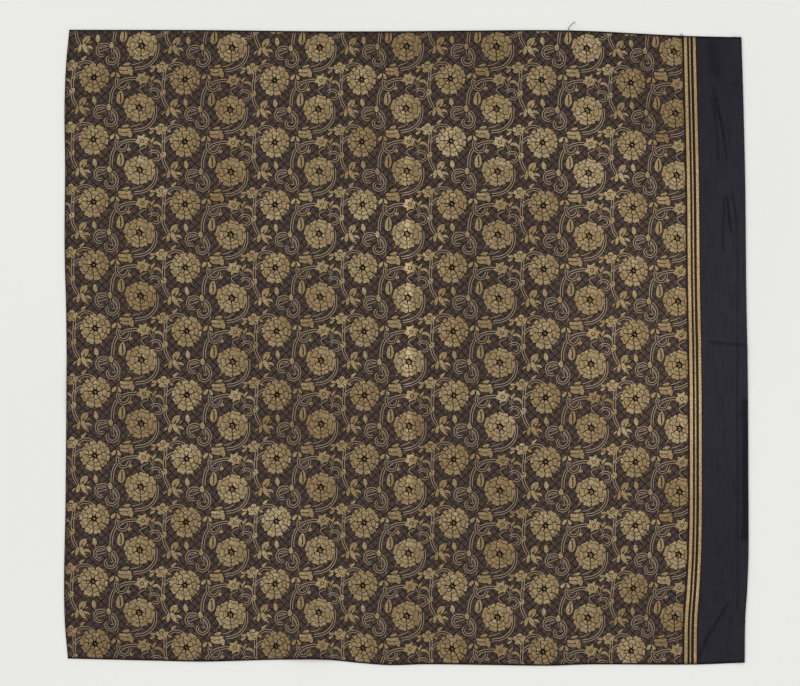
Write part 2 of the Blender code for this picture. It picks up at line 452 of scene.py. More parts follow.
def blade_path(blade, steps):
    """Path and widths of a leaf-like stroke that bends evenly as it goes."""
    heading = math.radians(blade.heading)
    place = Vector((blade.x, blade.y))
    path, widths = [place.copy()], []
    for i in range(steps):
        turn = heading + math.radians(blade.bend) * (i + 0.5) / steps
        place += Vector((math.cos(turn), math.sin(turn))) * blade.length / steps
        path.append(place.copy())
    for i in range(steps + 1):
        t = min(max(i / steps, 0.03), 0.97)
        widths.append(blade.width * math.sin(math.pi * t ** blade.skew) ** 0.62)
    return path, widths


def draw_vines(drawing, rng):
    """The vine's stems and scrolls: two fine lines side by side, and a few single ones."""
    for scrolls, profile in ((DOUBLE_VINES, double_profile()), (SINGLE_VINES, line_profile(LINE_WIDE))):
        for scroll in scrolls:
            path = scroll_path(scroll, LINE_STEP)
            drawing.strand(path, [profile] * len(path), rng.uniform(0, 1))


# ---------------------------------------------------------------- from flat to laid out

CLOTH_LONG = LENGTH + HEM_TURN
CLOTH_THICK = 0.0008
HEM_AIR = 0.0003
FIELD_END = 0.7282
SELVEDGE = 0.0016
FIELD_STARTS = 0.0012
COARSE_UNTIL = 0.726
TONE_FADE = 0.010
TURN_ROWS = 10
DRIFT_STARTS, DRIFT_FULL = 0.60, 0.91

# the three gold bars: where each starts along the cloth, its width and its weft threads
Bar = namedtuple("Bar", "start_mm wide_mm threads")
BARS = [Bar(730.6, 3.4, 6), Bar(736.5, 1.5, 3), Bar(741.2, 3.1, 6)]
PLAIN_GAP_MM = 1.6
PLAIN_STARTS = (BARS[-1].start_mm + BARS[-1].wide_mm + PLAIN_GAP_MM) * MM
BAR_STEPS = 250
BAR_MARGIN_MM = 1.0
BAR_THREAD_FULL = 1.04

# where the gold wefts turn back at the end of the field: mm from the field's end, and from
# the middle of each repeat's peony
WeftTurn = namedtuple("WeftTurn", "along across long wide")
WEFT_TURNS = [
    WeftTurn(-0.9, -36.6, 2.2, 1.2), WeftTurn(-0.7, 16.6, 1.6, 1.0), WeftTurn(-1.0, -40.6, 1.4, 0.9),
]

# how far the bars lean away from the plain end's edge near the lower selvedge
BAR_DRIFT = [DriftRow(0.00, -2.9), DriftRow(0.10, -2.3), DriftRow(0.28, 0.0), DriftRow(1.00, 0.0)]


def on_smooth_curve(rows, shares):
    """Values of an edge or drift table in metres, on a smooth curve through its rows."""
    at = np.array([row[0] for row in rows])
    value = np.array([row[1] for row in rows]) * MM
    before = np.maximum(np.arange(len(at)) - 1, 0)
    after = np.minimum(np.arange(len(at)) + 1, len(at) - 1)
    slope = (value[after] - value[before]) / (at[after] - at[before])
    shares = np.clip(np.asarray(shares, float), 0.0, 1.0)
    here = np.clip(np.searchsorted(at, shares, side="right") - 1, 0, len(at) - 2)
    span = at[here + 1] - at[here]
    t = (shares - at[here]) / span
    blend = t * t * (3 - 2 * t)
    found = value[here] + (value[here + 1] - value[here]) * blend
    found += span * slope[here] * t * (1 - t) ** 2
    return found - span * slope[here + 1] * t * t * (1 - t)


def in_plan(u, v):
    """Places in plan of the cloth's points at shares u of its length and v of its width."""
    left = -LENGTH / 2 + on_smooth_curve(LEFT_EDGE, v)
    right = LENGTH / 2 - on_smooth_curve(RIGHT_EDGE, v)
    lower = -WIDTH / 2 + on_smooth_curve(LOWER_EDGE, u)
    upper = WIDTH / 2 - on_smooth_curve(UPPER_EDGE, u)
    rising = np.clip((u - DRIFT_STARTS) / (DRIFT_FULL - DRIFT_STARTS), 0, 1)
    falling = np.clip((1 - u) / (1 - DRIFT_FULL), 0, 1)
    x = left + (right - left) * u + on_smooth_curve(BAR_DRIFT, v) * rising ** 2 * falling
    swell = SWELL_MM * np.sin(math.pi * np.asarray(v)) - SWAY_MM * np.sin(2 * math.pi * np.asarray(v))
    y = lower + (upper - lower) * v + swell * MM
    return x, y


def fold_height(x, y):
    """How far the folds lift the cloth at places in plan."""
    height = np.zeros_like(x)
    for fold in FOLDS:
        along_x, along_y = (fold.x1_mm - fold.x0_mm) * MM, (fold.y1_mm - fold.y0_mm) * MM
        from_x, from_y = x - fold.x0_mm * MM, y - fold.y0_mm * MM
        share = (from_x * along_x + from_y * along_y) / (along_x ** 2 + along_y ** 2)
        share = np.clip(share, 0, 1)
        away = np.hypot(from_x - along_x * share, from_y - along_y * share)
        away = np.minimum(away / (fold.half_wide_mm * MM), 1)
        height = np.maximum(height, fold.high_mm * MM * (1 - away ** 2) ** 2)
    return height


def plan_middle():
    """Middle of the outline's box, which the solid has over its origin."""
    side = np.linspace(0, 1, 400)
    ends = np.concatenate([in_plan(np.zeros(400), side)[0], in_plan(np.ones(400), side)[0]])
    selvedges = np.concatenate([in_plan(side, np.zeros(400))[1], in_plan(side, np.ones(400))[1]])
    return (ends.min() + ends.max()) / 2, (selvedges.min() + selvedges.max()) / 2


PLAN_MIDDLE = plan_middle()


def hem_rise(s):
    """How far the cloth climbs onto its turned-under hem at distances along it."""
    t = np.clip((s - (LENGTH - HEM_TURN - HEM_CLIMB)) / HEM_CLIMB, 0, 1)
    return (CLOTH_THICK + HEM_AIR) * t * t * (3 - 2 * t)


def laid(flat):
    """Rows of (along, across, above the face) as places on the laid-out cloth."""
    x, y = in_plan(flat[:, 0] / LENGTH, flat[:, 1] / WIDTH)
    z = fold_height(x, y) + CLOTH_THICK + hem_rise(flat[:, 0]) + flat[:, 2]
    return np.stack([x - PLAN_MIDDLE[0], y - PLAN_MIDDLE[1], z], 1)


def wandered(flat):
    """Flat places moved as the repeats wander from an even grid."""
    turn = 2 * math.pi * flat[:, 0] / WANDER_WAVE
    along = (WANDER_MIDDLE_MM - WANDER_ALONG_MM * np.cos(turn)) * MM
    up = (WANDER_MIDDLE_MM + WANDER_UP_MM * np.cos(turn)) * MM
    return flat + np.stack([along, up, np.zeros(len(flat))], 1)


def places_of(mesh):
    found = np.empty(len(mesh.vertices) * 3, np.float32)
    mesh.vertices.foreach_get("co", found)
    return found.reshape(-1, 3).astype(float)


def set_places(mesh, places):
    mesh.vertices.foreach_set("co", np.asarray(places, np.float32).ravel())
    mesh.update()


FLAT_MAP = "OFBake"
FLAT_PLACE = "flat_place"
SHADE = "petal_shade"
RIM_MASK = "dark_rim"
REPEAT_SHADE = "repeat_shade"


def remember_flat(mesh, flat):
    """Keeps where each point was on the flat cloth: in metres for the patterns, and as a map."""
    place = mesh.attributes.new(FLAT_PLACE, "FLOAT_VECTOR", "POINT")
    place.data.foreach_set("vector", flat.astype(np.float32).ravel())
    corner = np.empty(len(mesh.loops), np.int32)
    mesh.loops.foreach_get("vertex_index", corner)
    layer = mesh.uv_layers.new(name=FLAT_MAP)
    on_map = (flat[:, :2] / (CLOTH_LONG, WIDTH))[corner]
    layer.uv.foreach_set("vector", on_map.astype(np.float32).ravel())


# ---------------------------------------------------------------- repeats and trimming

def repeats_tree():
    """Geometry Nodes: one repeat set out in rows and columns, each with a shade of its own."""
    name = "Repeats in rows and columns"
    if name in bpy.data.node_groups:
        return bpy.data.node_groups[name]
    tree = bpy.data.node_groups.new(name, "GeometryNodeTree")
    sockets = tree.interface
    sockets.new_socket("Geometry", in_out="INPUT", socket_type="NodeSocketGeometry")
    for title in ("Columns", "Rows", "Seed"):
        sockets.new_socket(title, in_out="INPUT", socket_type="NodeSocketInt")
    for title in ("Repeat length", "Repeat width", "First along", "First across"):
        sockets.new_socket(title, in_out="INPUT", socket_type="NodeSocketFloat")
    sockets.new_socket("Material", in_out="INPUT", socket_type="NodeSocketMaterial")
    sockets.new_socket("Geometry", in_out="OUTPUT", socket_type="NodeSocketGeometry")
    nodes, links = tree.nodes, tree.links
    given = nodes.new("NodeGroupInput")
    grid = nodes.new("GeometryNodeMeshGrid")
    middle = nodes.new("ShaderNodeCombineXYZ")
    for axis, count, pitch, first in (("X", "Columns", "Repeat length", "First along"),
                                      ("Y", "Rows", "Repeat width", "First across")):
        gaps = maths(tree, "SUBTRACT", given.outputs[count], 1)
        size = maths(tree, "MULTIPLY", gaps, given.outputs[pitch])
        links.new(size, grid.inputs["Size " + axis])
        links.new(given.outputs[count], grid.inputs["Vertices " + axis])
        half = maths(tree, "MULTIPLY", size, 0.5)
        links.new(maths(tree, "ADD", half, given.outputs[first]), middle.inputs[axis])
    place = nodes.new("GeometryNodeTransform")
    links.new(grid.outputs["Mesh"], place.inputs["Geometry"])
    links.new(middle.outputs[0], place.inputs["Translation"])
    copies = nodes.new("GeometryNodeInstanceOnPoints")
    links.new(place.outputs["Geometry"], copies.inputs["Points"])
    links.new(given.outputs["Geometry"], copies.inputs["Instance"])
    chance = nodes.new("FunctionNodeRandomValue")
    chance.data_type = "FLOAT"
    links.new(given.outputs["Seed"], chance.inputs["Seed"])
    store = nodes.new("GeometryNodeStoreNamedAttribute")
    store.data_type = "FLOAT"
    store.domain = "INSTANCE"
    store.inputs["Name"].default_value = REPEAT_SHADE
    links.new(copies.outputs["Instances"], store.inputs["Geometry"])
    links.new(next(o for o in chance.outputs if o.enabled), store.inputs["Value"])
    real = nodes.new("GeometryNodeRealizeInstances")
    links.new(store.outputs["Geometry"], real.inputs["Geometry"])
    coat = nodes.new("GeometryNodeSetMaterial")
    links.new(real.outputs["Geometry"], coat.inputs["Geometry"])
    links.new(given.outputs["Material"], coat.inputs["Material"])
    result = nodes.new("NodeGroupOutput")
    links.new(coat.outputs["Geometry"], result.inputs["Geometry"])
    return tree


def face_outward(mesh):
    """Turns the faces of a closed mesh outward."""
    bm = bmesh.new()
    bm.from_mesh(mesh)
    bmesh.ops.recalc_face_normals(bm, faces=bm.faces[:])
    bm.to_mesh(mesh)
    bm.free()


def drawing_mesh(drawing, name):
    """The drawing as a closed mesh in metres, its faces outward and its shades kept."""
    mesh = bpy.data.meshes.new(name)
    mesh.from_pydata([tuple(c * MM for c in place) for place in drawing.places], [], drawing.faces)
    for name, values in ((SHADE, drawing.shades), (RIM_MASK, drawing.rims)):
        mesh.attributes.new(name, "FLOAT", "POINT").data.foreach_set("value", np.array(values, np.float32))
    face_outward(mesh)
    return mesh


def new_piece(name, mesh):
    piece = bpy.data.objects.new(name, mesh)
    bpy.context.scene.collection.objects.link(piece)
    return piece


def plain_mesh(piece):
    """Turns a piece's modifiers into its mesh."""
    seen = bpy.context.evaluated_depsgraph_get()
    mesh = bpy.data.meshes.new_from_object(piece.evaluated_get(seen), preserve_all_data_layers=True,
                                           depsgraph=seen)
    piece.modifiers.clear()
    before = piece.data
    piece.data = mesh
    bpy.data.meshes.remove(before)


def set_inputs(modifier, values):
    """Sets a tree's inputs on its modifier, each by its socket's identifier."""
    for socket in modifier.node_group.interface.items_tree:
        if socket.in_out == "INPUT" and socket.name in values:
            modifier[socket.identifier] = values[socket.name]


def repeated(drawing, name, material, settings, in_one_line=False):
    """One repeat's drawing set out over the whole field, or once in each row along the field's
    end, as one flat mesh."""
    piece = new_piece(name, drawing_mesh(drawing, name))
    modifier = piece.modifiers.new("repeats", "NODES")
    modifier.node_group = repeats_tree()
    columns = math.ceil(FIELD_END / settings.repeat_long) + 2
    rows = math.ceil(WIDTH / settings.repeat_wide) + 2
    values = {
        "Columns": 1 if in_one_line else columns,
        "Rows": TURN_ROWS if in_one_line else rows,
        "Seed": settings.seed,
        "Repeat length": settings.repeat_long,
        "Repeat width": settings.repeat_wide,
        "First along": FIELD_END if in_one_line else settings.first_long - settings.repeat_long,
        "First across": settings.first_wide - (0.0 if in_one_line else settings.repeat_wide),
        "Material": material,
    }
    set_inputs(modifier, values)
    plain_mesh(piece)
    return piece


def trimmed(mesh, low, high):
    """Cuts a flat mesh to the box from low to high in plan, and closes what was cut."""
    bm = bmesh.new()
    bm.from_mesh(mesh)
    for axis in (0, 1):
        for limit, sign in ((low[axis], -1), (high[axis], 1)):
            outward = Vector((sign, 0, 0)) if axis == 0 else Vector((0, sign, 0))
            gone = [v for v in bm.verts if all((w.verts[0].co[axis] - limit) * sign > 0
                    and (w.verts[1].co[axis] - limit) * sign > 0 for w in v.link_edges)]
            gone = [v for v in gone if all(all((c.co[axis] - limit) * sign > 0 for c in f.verts)
                                           for f in v.link_faces)]
            bmesh.ops.delete(bm, geom=gone, context="VERTS")
            place = outward * limit * sign
            cut = bmesh.ops.bisect_plane(bm, geom=bm.verts[:] + bm.edges[:] + bm.faces[:], dist=1e-7,
                                         plane_co=place, plane_no=outward, clear_outer=True)
            edges = [e for e in cut["geom_cut"] if isinstance(e, bmesh.types.BMEdge)]
            bmesh.ops.holes_fill(bm, edges=edges, sides=0)
    bmesh.ops.triangulate(bm, faces=[f for f in bm.faces if len(f.verts) > 4])
    bm.to_mesh(mesh)
    bm.free()


def figured_piece(draw, name, material, settings):
    """A set of figures drawn once, repeated, trimmed to the field and laid on the cloth."""
    drawing = Drawing()
    draw(drawing, np.random.default_rng(settings.seed + len(name)))
    piece = repeated(drawing, name, material, settings)
    set_places(piece.data, wandered(places_of(piece.data)))
    trimmed(piece.data, (FIELD_STARTS, SELVEDGE), (FIELD_END, WIDTH - SELVEDGE))
    lay_piece(piece)
    finish_piece(piece)
    return piece


def lay_piece(piece):
    """Lays a flat piece on the cloth; its patterns keep to the flat places."""
    flat = places_of(piece.data)
    remember_flat(piece.data, flat)
    set_places(piece.data, laid(flat))


def finish_piece(piece):
    """Smooth faces, and the piece's body."""
    piece.data.shade_smooth()
    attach(piece, BODY)


# ---------------------------------------------------------------- building node trees

def put(tree, socket, value):
    """Gives a socket a plain value, or links another socket to it."""
    if isinstance(value, bpy.types.NodeSocket):
        tree.links.new(value, socket)
    elif value is not None:
        socket.default_value = value


def maths(tree, operation, *values, clamp=False):
    node = tree.nodes.new("ShaderNodeMath")
    node.operation, node.use_clamp = operation, clamp
    for socket, value in zip(node.inputs, values):
        put(tree, socket, value)
    return node.outputs[0]


def vector_maths(tree, operation, *values):
    node = tree.nodes.new("ShaderNodeVectorMath")
    node.operation = operation
    for socket, value in zip(node.inputs, values):
        put(tree, socket, value)
    return node.outputs[0]


def times(tree, colour, factor):
    """The colour, or the vector, multiplied by a value."""
    node = tree.nodes.new("ShaderNodeVectorMath")
    node.operation = "SCALE"
    put(tree, node.inputs[0], colour)
    put(tree, node.inputs["Scale"], factor)
    return node.outputs[0]


def dot(tree, first, second):
    node = tree.nodes.new("ShaderNodeVectorMath")
    node.operation = "DOT_PRODUCT"
    put(tree, node.inputs[0], first)
    put(tree, node.inputs[1], second)
    return node.outputs["Value"]


def between(tree, value, low, high, to_low=0.0, to_high=1.0):
    """A soft step: to_low below low, to_high above high."""
    node = tree.nodes.new("ShaderNodeMapRange")
    node.interpolation_type = "SMOOTHSTEP"
    for title, given in (("Value", value), ("From Min", low), ("From Max", high),
                         ("To Min", to_low), ("To Max", to_high)):
        put(tree, node.inputs[title], given)
    return node.outputs["Result"]


def mixed(tree, share, first, second):
    node = tree.nodes.new("ShaderNodeMix")
    node.data_type = "RGBA"
    for index, value in ((0, share), (6, first), (7, second)):
        put(tree, node.inputs[index], value)
    return node.outputs[2]


def noise(tree, place, scale, detail=2.0, roughness=0.5, stretch=None):
    """Noise at so many waves a metre; stretch draws it out along the wefts."""
    if stretch:
        place = vector_maths(tree, "MULTIPLY", place, (1.0, 1.0 / stretch, 1.0))
    node = tree.nodes.new("ShaderNodeTexNoise")
    for title, value in (("Vector", place), ("Scale", scale), ("Detail", detail),
                         ("Roughness", roughness)):
        put(tree, node.inputs[title], value)
    return node.outputs["Fac"]


def axes(tree, place):
    node = tree.nodes.new("ShaderNodeSeparateXYZ")
    put(tree, node.inputs[0], place)
    return node.outputs[0], node.outputs[1]


def band(tree, value, middle, half_wide):
    """1 at the middle, falling softly to 0 at half_wide to either side."""
    away = maths(tree, "ABSOLUTE", maths(tree, "SUBTRACT", value, middle))
    return between(tree, away, 0.0, half_wide, 1.0, 0.0)


def effect(name, inputs, outputs):
    """A new shader node group with its sockets: (group, its inputs by name, its outputs)."""
    group = bpy.data.node_groups.new(name, "ShaderNodeTree")
    kinds = {"value": "NodeSocketFloat", "colour": "NodeSocketColor", "vector": "NodeSocketVector"}
    for title, kind, default in inputs:
        socket = group.interface.new_socket(title, in_out="INPUT", socket_type=kinds[kind])
        if default is not None:
            socket.default_value = default
    for title, kind in outputs:
        group.interface.new_socket(title, in_out="OUTPUT", socket_type=kinds[kind])
    given = group.nodes.new("NodeGroupInput").outputs
    result = group.nodes.new("NodeGroupOutput").inputs
    return group, given, result


def use_effect(tree, name, **values):
    """Places a shared effect in a material, with the material's own values."""
    if name not in bpy.data.node_groups:
        EFFECTS[name](name)
    node = tree.nodes.new("ShaderNodeGroup")
    node.node_tree = bpy.data.node_groups[name]
    node.label = name
    for title, value in values.items():
        put(tree, node.inputs[title.replace("_", " ")], value)
    return node.outputs


# ---------------------------------------------------------------- effects of old figured silk, and painted light and shade

# painted shade along pressed creases in the plain end, as darker lines, mm from the panel's middle
CreaseShade = namedtuple("CreaseShade", "x y to_x to_y wide depth")
CREASE_SHADES = [
    CreaseShade(356.5, 307.5, 361.2, 288.8, 1.8, 0.40), CreaseShade(361.2, 288.8, 366.0, 267.8, 2.0, 0.50),
    CreaseShade(366.0, 267.8, 370.5, 246.8, 1.8, 0.50), CreaseShade(370.5, 246.8, 372.8, 223.5, 1.8, 0.45),
    CreaseShade(355.3, 291.0, 360.0, 272.5, 1.6, 0.35), CreaseShade(360.0, 272.5, 364.0, 221.0, 1.8, 0.40),
    CreaseShade(374.0, 177.0, 378.5, 135.0, 1.8, 0.50), CreaseShade(381.0, 177.0, 384.5, 153.5, 1.6, 0.45),
    CreaseShade(384.5, 153.5, 386.8, 90.0, 1.6, 0.35), CreaseShade(370.5, 177.0, 369.4, 114.0, 2.2, 0.35),
    CreaseShade(358.0, 352.0, 361.0, 322.0, 7.0, 0.35), CreaseShade(386.2, 90.0, 386.6, -306.0, 1.5, 0.32),
    CreaseShade(394.8, -62.0, 395.0, -222.0, 4.0, 0.60), CreaseShade(374.0, -299.0, 349.5, -341.0, 2.0, 0.45),
    CreaseShade(349.5, -341.0, 340.5, -362.0, 2.4, 0.40), CreaseShade(354.0, 6.4, 393.5, 3.0, 2.0, 0.40),
]
CREASE_SPREAD, CREASE_STRENGTH = 1.7, 0.85


def weft_threads(name):
    """Threads across the cloth: their ribs, and the slubs that make each one uneven."""
    group, given, result = effect(name, [
        ("Place", "vector", None), ("Pitch", "value", 0.0006), ("Uneven", "value", 0.35),
    ], [("Rib", "value"), ("Slub", "value")])
    x, _ = axes(group, given["Place"])
    wander = noise(group, given["Place"], 90.0, 1.0, stretch=6.0)
    turn = maths(group, "ADD", maths(group, "DIVIDE", x, given["Pitch"]),
                 maths(group, "MULTIPLY", wander, given["Uneven"]))
    share = maths(group, "ABSOLUTE", maths(group, "SUBTRACT", maths(group, "FRACT", turn), 0.5))
    put(group, result["Rib"], between(group, share, 0.5, 0.05))
    put(group, result["Slub"], noise(group, given["Place"], 1300.0, 2.0, 0.6, stretch=3.5))


def diaper_fret(name):
    """Lozenges woven tone on tone in the satin: the dark lines between them, the finer lines
    inside each, and a value of its own for each lozenge."""
    group, given, result = effect(name, [
        ("Place", "vector", None), ("Long", "value", 0.00955), ("Wide", "value", 0.00926),
        ("Uneven", "value", 0.06),
    ], [("Line", "value"), ("Inner", "value"), ("Own", "value")])
    wander = maths(group, "SUBTRACT", noise(group, given["Place"], 150.0, 2.0), 0.5)
    x, y = axes(group, given["Place"])
    along, over = maths(group, "DIVIDE", x, given["Long"]), maths(group, "DIVIDE", y, given["Wide"])
    turns = [maths(group, operation, along, over) for operation in ("ADD", "SUBTRACT")]
    turns = [maths(group, "ADD", turn, maths(group, "MULTIPLY", wander, given["Uneven"])) for turn in turns]
    lines = [maths(group, "ABSOLUTE", maths(group, "SUBTRACT", maths(group, "FRACT", turn), 0.5))
             for turn in turns]
    farthest = maths(group, "MAXIMUM", *lines)
    put(group, result["Line"], between(group, farthest, 0.35, 0.465))
    rings = maths(group, "SINE", maths(group, "MULTIPLY", farthest, 2 * math.pi * 6.0))
    put(group, result["Inner"], between(group, rings, -0.6, 0.9))
    cell = group.nodes.new("ShaderNodeCombineXYZ")
    for socket, turn in zip(cell.inputs, turns):
        put(group, socket, maths(group, "FLOOR", turn))
    own = group.nodes.new("ShaderNodeTexWhiteNoise")
    own.noise_dimensions = "2D"
    put(group, own.inputs["Vector"], cell.outputs[0])
    put(group, result["Own"], own.outputs["Value"])


def crease_shade(name):
    """Painted shade along one pressed crease: the light lost there, soft to both sides and at both ends."""
    group, given, result = effect(name, [
        ("Place", "vector", None), ("Start", "vector", None), ("End", "vector", None),
        ("Width", "value", 0.002), ("Depth", "value", 0.3),
    ], [("Light", "value")])
    flat = vector_maths(group, "MULTIPLY", given["Place"], (1.0, 1.0, 0.0))
    along = vector_maths(group, "SUBTRACT", given["End"], given["Start"])
    out = vector_maths(group, "SUBTRACT", flat, given["Start"])
    share = maths(group, "DIVIDE", dot(group, out, along), dot(group, along, along), clamp=True)
    away = vector_maths(group, "SUBTRACT", out, times(group, along, share))
    distance = maths(group, "SQRT", dot(group, away, away))
    mark = between(group, maths(group, "DIVIDE", distance, given["Width"]), 1.0, 0.0)
    put(group, result["Light"], maths(group, "SUBTRACT", 1.0, maths(group, "MULTIPLY", mark, given["Depth"])))


def thread_tints(name):
    """Dye that took a little differently in every few threads: a colour to multiply by."""
    group, given, result = effect(name, [
        ("Place", "vector", None), ("Fine", "value", 520.0), ("Strength", "value", 1.0),
    ], [("Tint", "colour")])
    node = group.nodes.new("ShaderNodeTexNoise")
    node.noise_dimensions = "2D"
    put(group, node.inputs["Vector"], given["Place"])
    put(group, node.inputs["Scale"], given["Fine"])
    node.inputs["Detail"].default_value = 1.0
    off = vector_maths(group, "SUBTRACT", node.outputs["Color"], (0.5, 0.5, 0.5))
    off = vector_maths(group, "MULTIPLY", off, (1.3, 0.3, 2.8))
    scaled = times(group, off, given["Strength"])
    put(group, result["Tint"], vector_maths(group, "ADD", scaled, (1.0, 1.0, 1.0)))


def old_gilt(name):
    """The colour of gilt weft: its own shade in each petal and repeat, mottled and rubbed."""
    group, given, result = effect(name, [
        ("Place", "vector", None), ("Petal", "value", 0.5), ("Repeat", "value", 0.5),
        ("Pale", "colour", None), ("Middle", "colour", None), ("Deep", "colour", None),
        ("Rosy", "colour", None), ("Bare", "colour", None), ("Rubbed", "value", 0.5),
    ], [("Colour", "colour"), ("Gilt", "value")])
    broad = noise(group, given["Place"], 9.0, 3.0, 0.55)
    fine = noise(group, given["Place"], 560.0, 3.0, 0.70)
    hue = noise(group, vector_maths(group, "ADD", given["Place"], (0.37, 0.11, 0.0)), 330.0, 2.0, 0.6)
    shade = maths(group, "MULTIPLY", given["Petal"], 0.16)
    for part, weight in ((given["Repeat"], 0.20), (broad, 0.68), (fine, 1.60)):
        shade = maths(group, "ADD", shade, maths(group, "MULTIPLY", part, weight))
    shade = maths(group, "SUBTRACT", shade, 0.83)
    colour = mixed(group, between(group, shade, 0.20, 0.48), given["Deep"], given["Middle"])
    colour = mixed(group, between(group, shade, 0.50, 0.82), colour, given["Pale"])
    colour = mixed(group, between(group, hue, 0.48, 0.66, 0.0, 0.75), colour, given["Rosy"])
    worn = noise(group, given["Place"], 760.0, 2.0, 0.6, stretch=1.6)
    bare = between(group, worn, 0.56, 0.70)
    bare = maths(group, "MULTIPLY", bare, given["Rubbed"])
    put(group, result["Colour"], mixed(group, bare, colour, given["Bare"]))
    put(group, result["Gilt"], maths(group, "SUBTRACT", 1.0, bare))


def painted_light_and_tone(name):
    """How much light the whole cloth gives back, painted into its colour as a factor: a painted highlight
    along the middle crease, painted light on the right part, painted shade at the left end and the cut edges,
    darker towards the lower left and the upper side, and patches of tone.
    """
    group, given, result = effect(name, [
        ("Place", "vector", None), ("Crease shine", "value", 0.5), ("Edge dullness", "value", 0.4),
    ], [("Factor", "value")])
    x, y = axes(group, given["Place"])
    patchy = noise(group, given["Place"], 26.0, 3.0, 0.6)
    along = maths(group, "MULTIPLY", between(group, y, 0.09, 0.28), between(group, y, 0.70, 0.50))
    wave = maths(group, "MULTIPLY", maths(group, "SUBTRACT", noise(group, given["Place"], 5.0, 1.0), 0.5),
                 0.006)
    # painted highlight along the middle crease
    crease = band(group, maths(group, "ADD", x, wave), 0.4015, 0.0075)
    crease = maths(group, "MULTIPLY", maths(group, "MULTIPLY", crease, along), given["Crease shine"])
    # painted light on the right part; darker towards the lower left and the upper side
    right = maths(group, "MULTIPLY", between(group, x, 0.54, 0.62), band(group, y, 0.40, 0.30))
    low_left = maths(group, "MULTIPLY", between(group, x, 0.26, 0.05), between(group, y, 0.22, 0.05))
    high = between(group, y, 0.60, 0.74)
    # painted shade at the left end and along both cut edges
    left_edge = between(group, x, 0.008, 0.0005)
    cut_edges = maths(group, "ADD", between(group, y, 0.005, 0.0005),
                      between(group, y, WIDTH - 0.005, WIDTH - 0.0005))
    factor = maths(group, "ADD", 0.90, maths(group, "MULTIPLY", patchy, 0.16))
    factor = maths(group, "ADD", factor, crease)
    for part, weight in ((right, 0.22), (low_left, -0.07), (high, -0.07)):
        factor = maths(group, "ADD", factor, maths(group, "MULTIPLY", part, weight))
    # the painted edge shade darkens the factor
    dull = maths(group, "MULTIPLY", maths(group, "ADD", left_edge, cut_edges), given["Edge dullness"])
    factor = maths(group, "MULTIPLY", factor, maths(group, "SUBTRACT", 1.0, dull))
    put(group, result["Factor"], factor)


EFFECTS = {
    "Weft threads": weft_threads,
    "Diaper fret": diaper_fret,
    "Thread tints": thread_tints,
    "Crease mark": crease_shade,
    "Old gilt": old_gilt,
    "Soft wear": painted_light_and_tone,
}


# ---------------------------------------------------------------- materials

def new_material(name, roughness, metallic=0.0, sheen=0.0):
    """A cloth material: (material, its tree, its shader)."""
    material = bpy.data.materials.new(name)
    material.use_nodes = True
    tree = material.node_tree
    shader = tree.nodes["Principled BSDF"]
    shader.inputs["Roughness"].default_value = roughness
    shader.inputs["Metallic"].default_value = metallic
    shader.inputs["Specular IOR Level"].default_value = 0.03
    shader.inputs["Sheen Weight"].default_value = sheen
    shader.inputs["Sheen Roughness"].default_value = 0.5
    return material, tree, shader


def read(tree, attribute, output):
    node = tree.nodes.new("ShaderNodeAttribute")
    node.attribute_name = attribute
    return node.outputs[output]


def set_bump(tree, shader, height, strength, distance):
    bump = tree.nodes.new("ShaderNodeBump")
    put(tree, bump.inputs["Height"], height)
    bump.inputs["Strength"].default_value = strength
    bump.inputs["Distance"].default_value = distance
    put(tree, shader.inputs["Normal"], bump.outputs[0])


def gilt_material(name, settings, lightness, rubbed, shine, faded=0.05):
    """Gilt weft lying on the satin."""
    material, tree, shader = new_material(name, 0.5, metallic=0.30)
    place = read(tree, FLAT_PLACE, "Vector")
    gilt = use_effect(tree, "Old gilt", Place=place, Petal=read(tree, SHADE, "Fac"),
                      Repeat=read(tree, REPEAT_SHADE, "Fac"), Pale=(*settings.gold_pale, 1),
                      Middle=(*settings.gold_middle, 1), Deep=(*settings.gold_deep, 1),
                      Rosy=(*settings.gold_rosy, 1), Bare=(*settings.gold_bare, 1), Rubbed=rubbed)
    threads = use_effect(tree, "Weft threads", Place=place, Pitch=0.00062, Uneven=0.5)
    # painted light and shade: shine sets the painted highlight along the middle crease, and the edges get
    # painted shade
    light_and_tone = use_effect(tree, "Soft wear", Place=place, Crease_shine=shine, Edge_dullness=0.45)
    slub = maths(tree, "ADD", 0.80, maths(tree, "MULTIPLY", threads["Slub"], 0.40))
    light = maths(tree, "MULTIPLY", maths(tree, "MULTIPLY", light_and_tone["Factor"], slub), lightness)
    ragged = maths(tree, "MULTIPLY", maths(tree, "SUBTRACT", threads["Slub"], 0.5), 0.22)
    rim = between(tree, maths(tree, "ADD", read(tree, RIM_MASK, "Fac"), ragged), 0.18, 0.36)
    on_gold = maths(tree, "MULTIPLY", gilt["Gilt"], maths(tree, "SUBTRACT", 1.0, rim))
    colour = times(tree, mixed(tree, faded, gilt["Colour"], (*settings.gold_faded, 1)), light)
    tints = use_effect(tree, "Thread tints", Place=place, Fine=480.0, Strength=0.80)
    put(tree, shader.inputs["Base Color"],
        vector_maths(tree, "MULTIPLY", mixed(tree, rim, colour, (*settings.rim_satin, 1)), tints["Tint"]))
    put(tree, shader.inputs["Metallic"], maths(tree, "MULTIPLY", on_gold, 0.35))
    put(tree, shader.inputs["Roughness"],
        maths(tree, "SUBTRACT", 0.66, maths(tree, "MULTIPLY", on_gold, 0.18)))
    set_bump(tree, shader, maths(tree, "ADD", threads["Rib"], threads["Slub"]), 0.5, 0.00012)
    return material


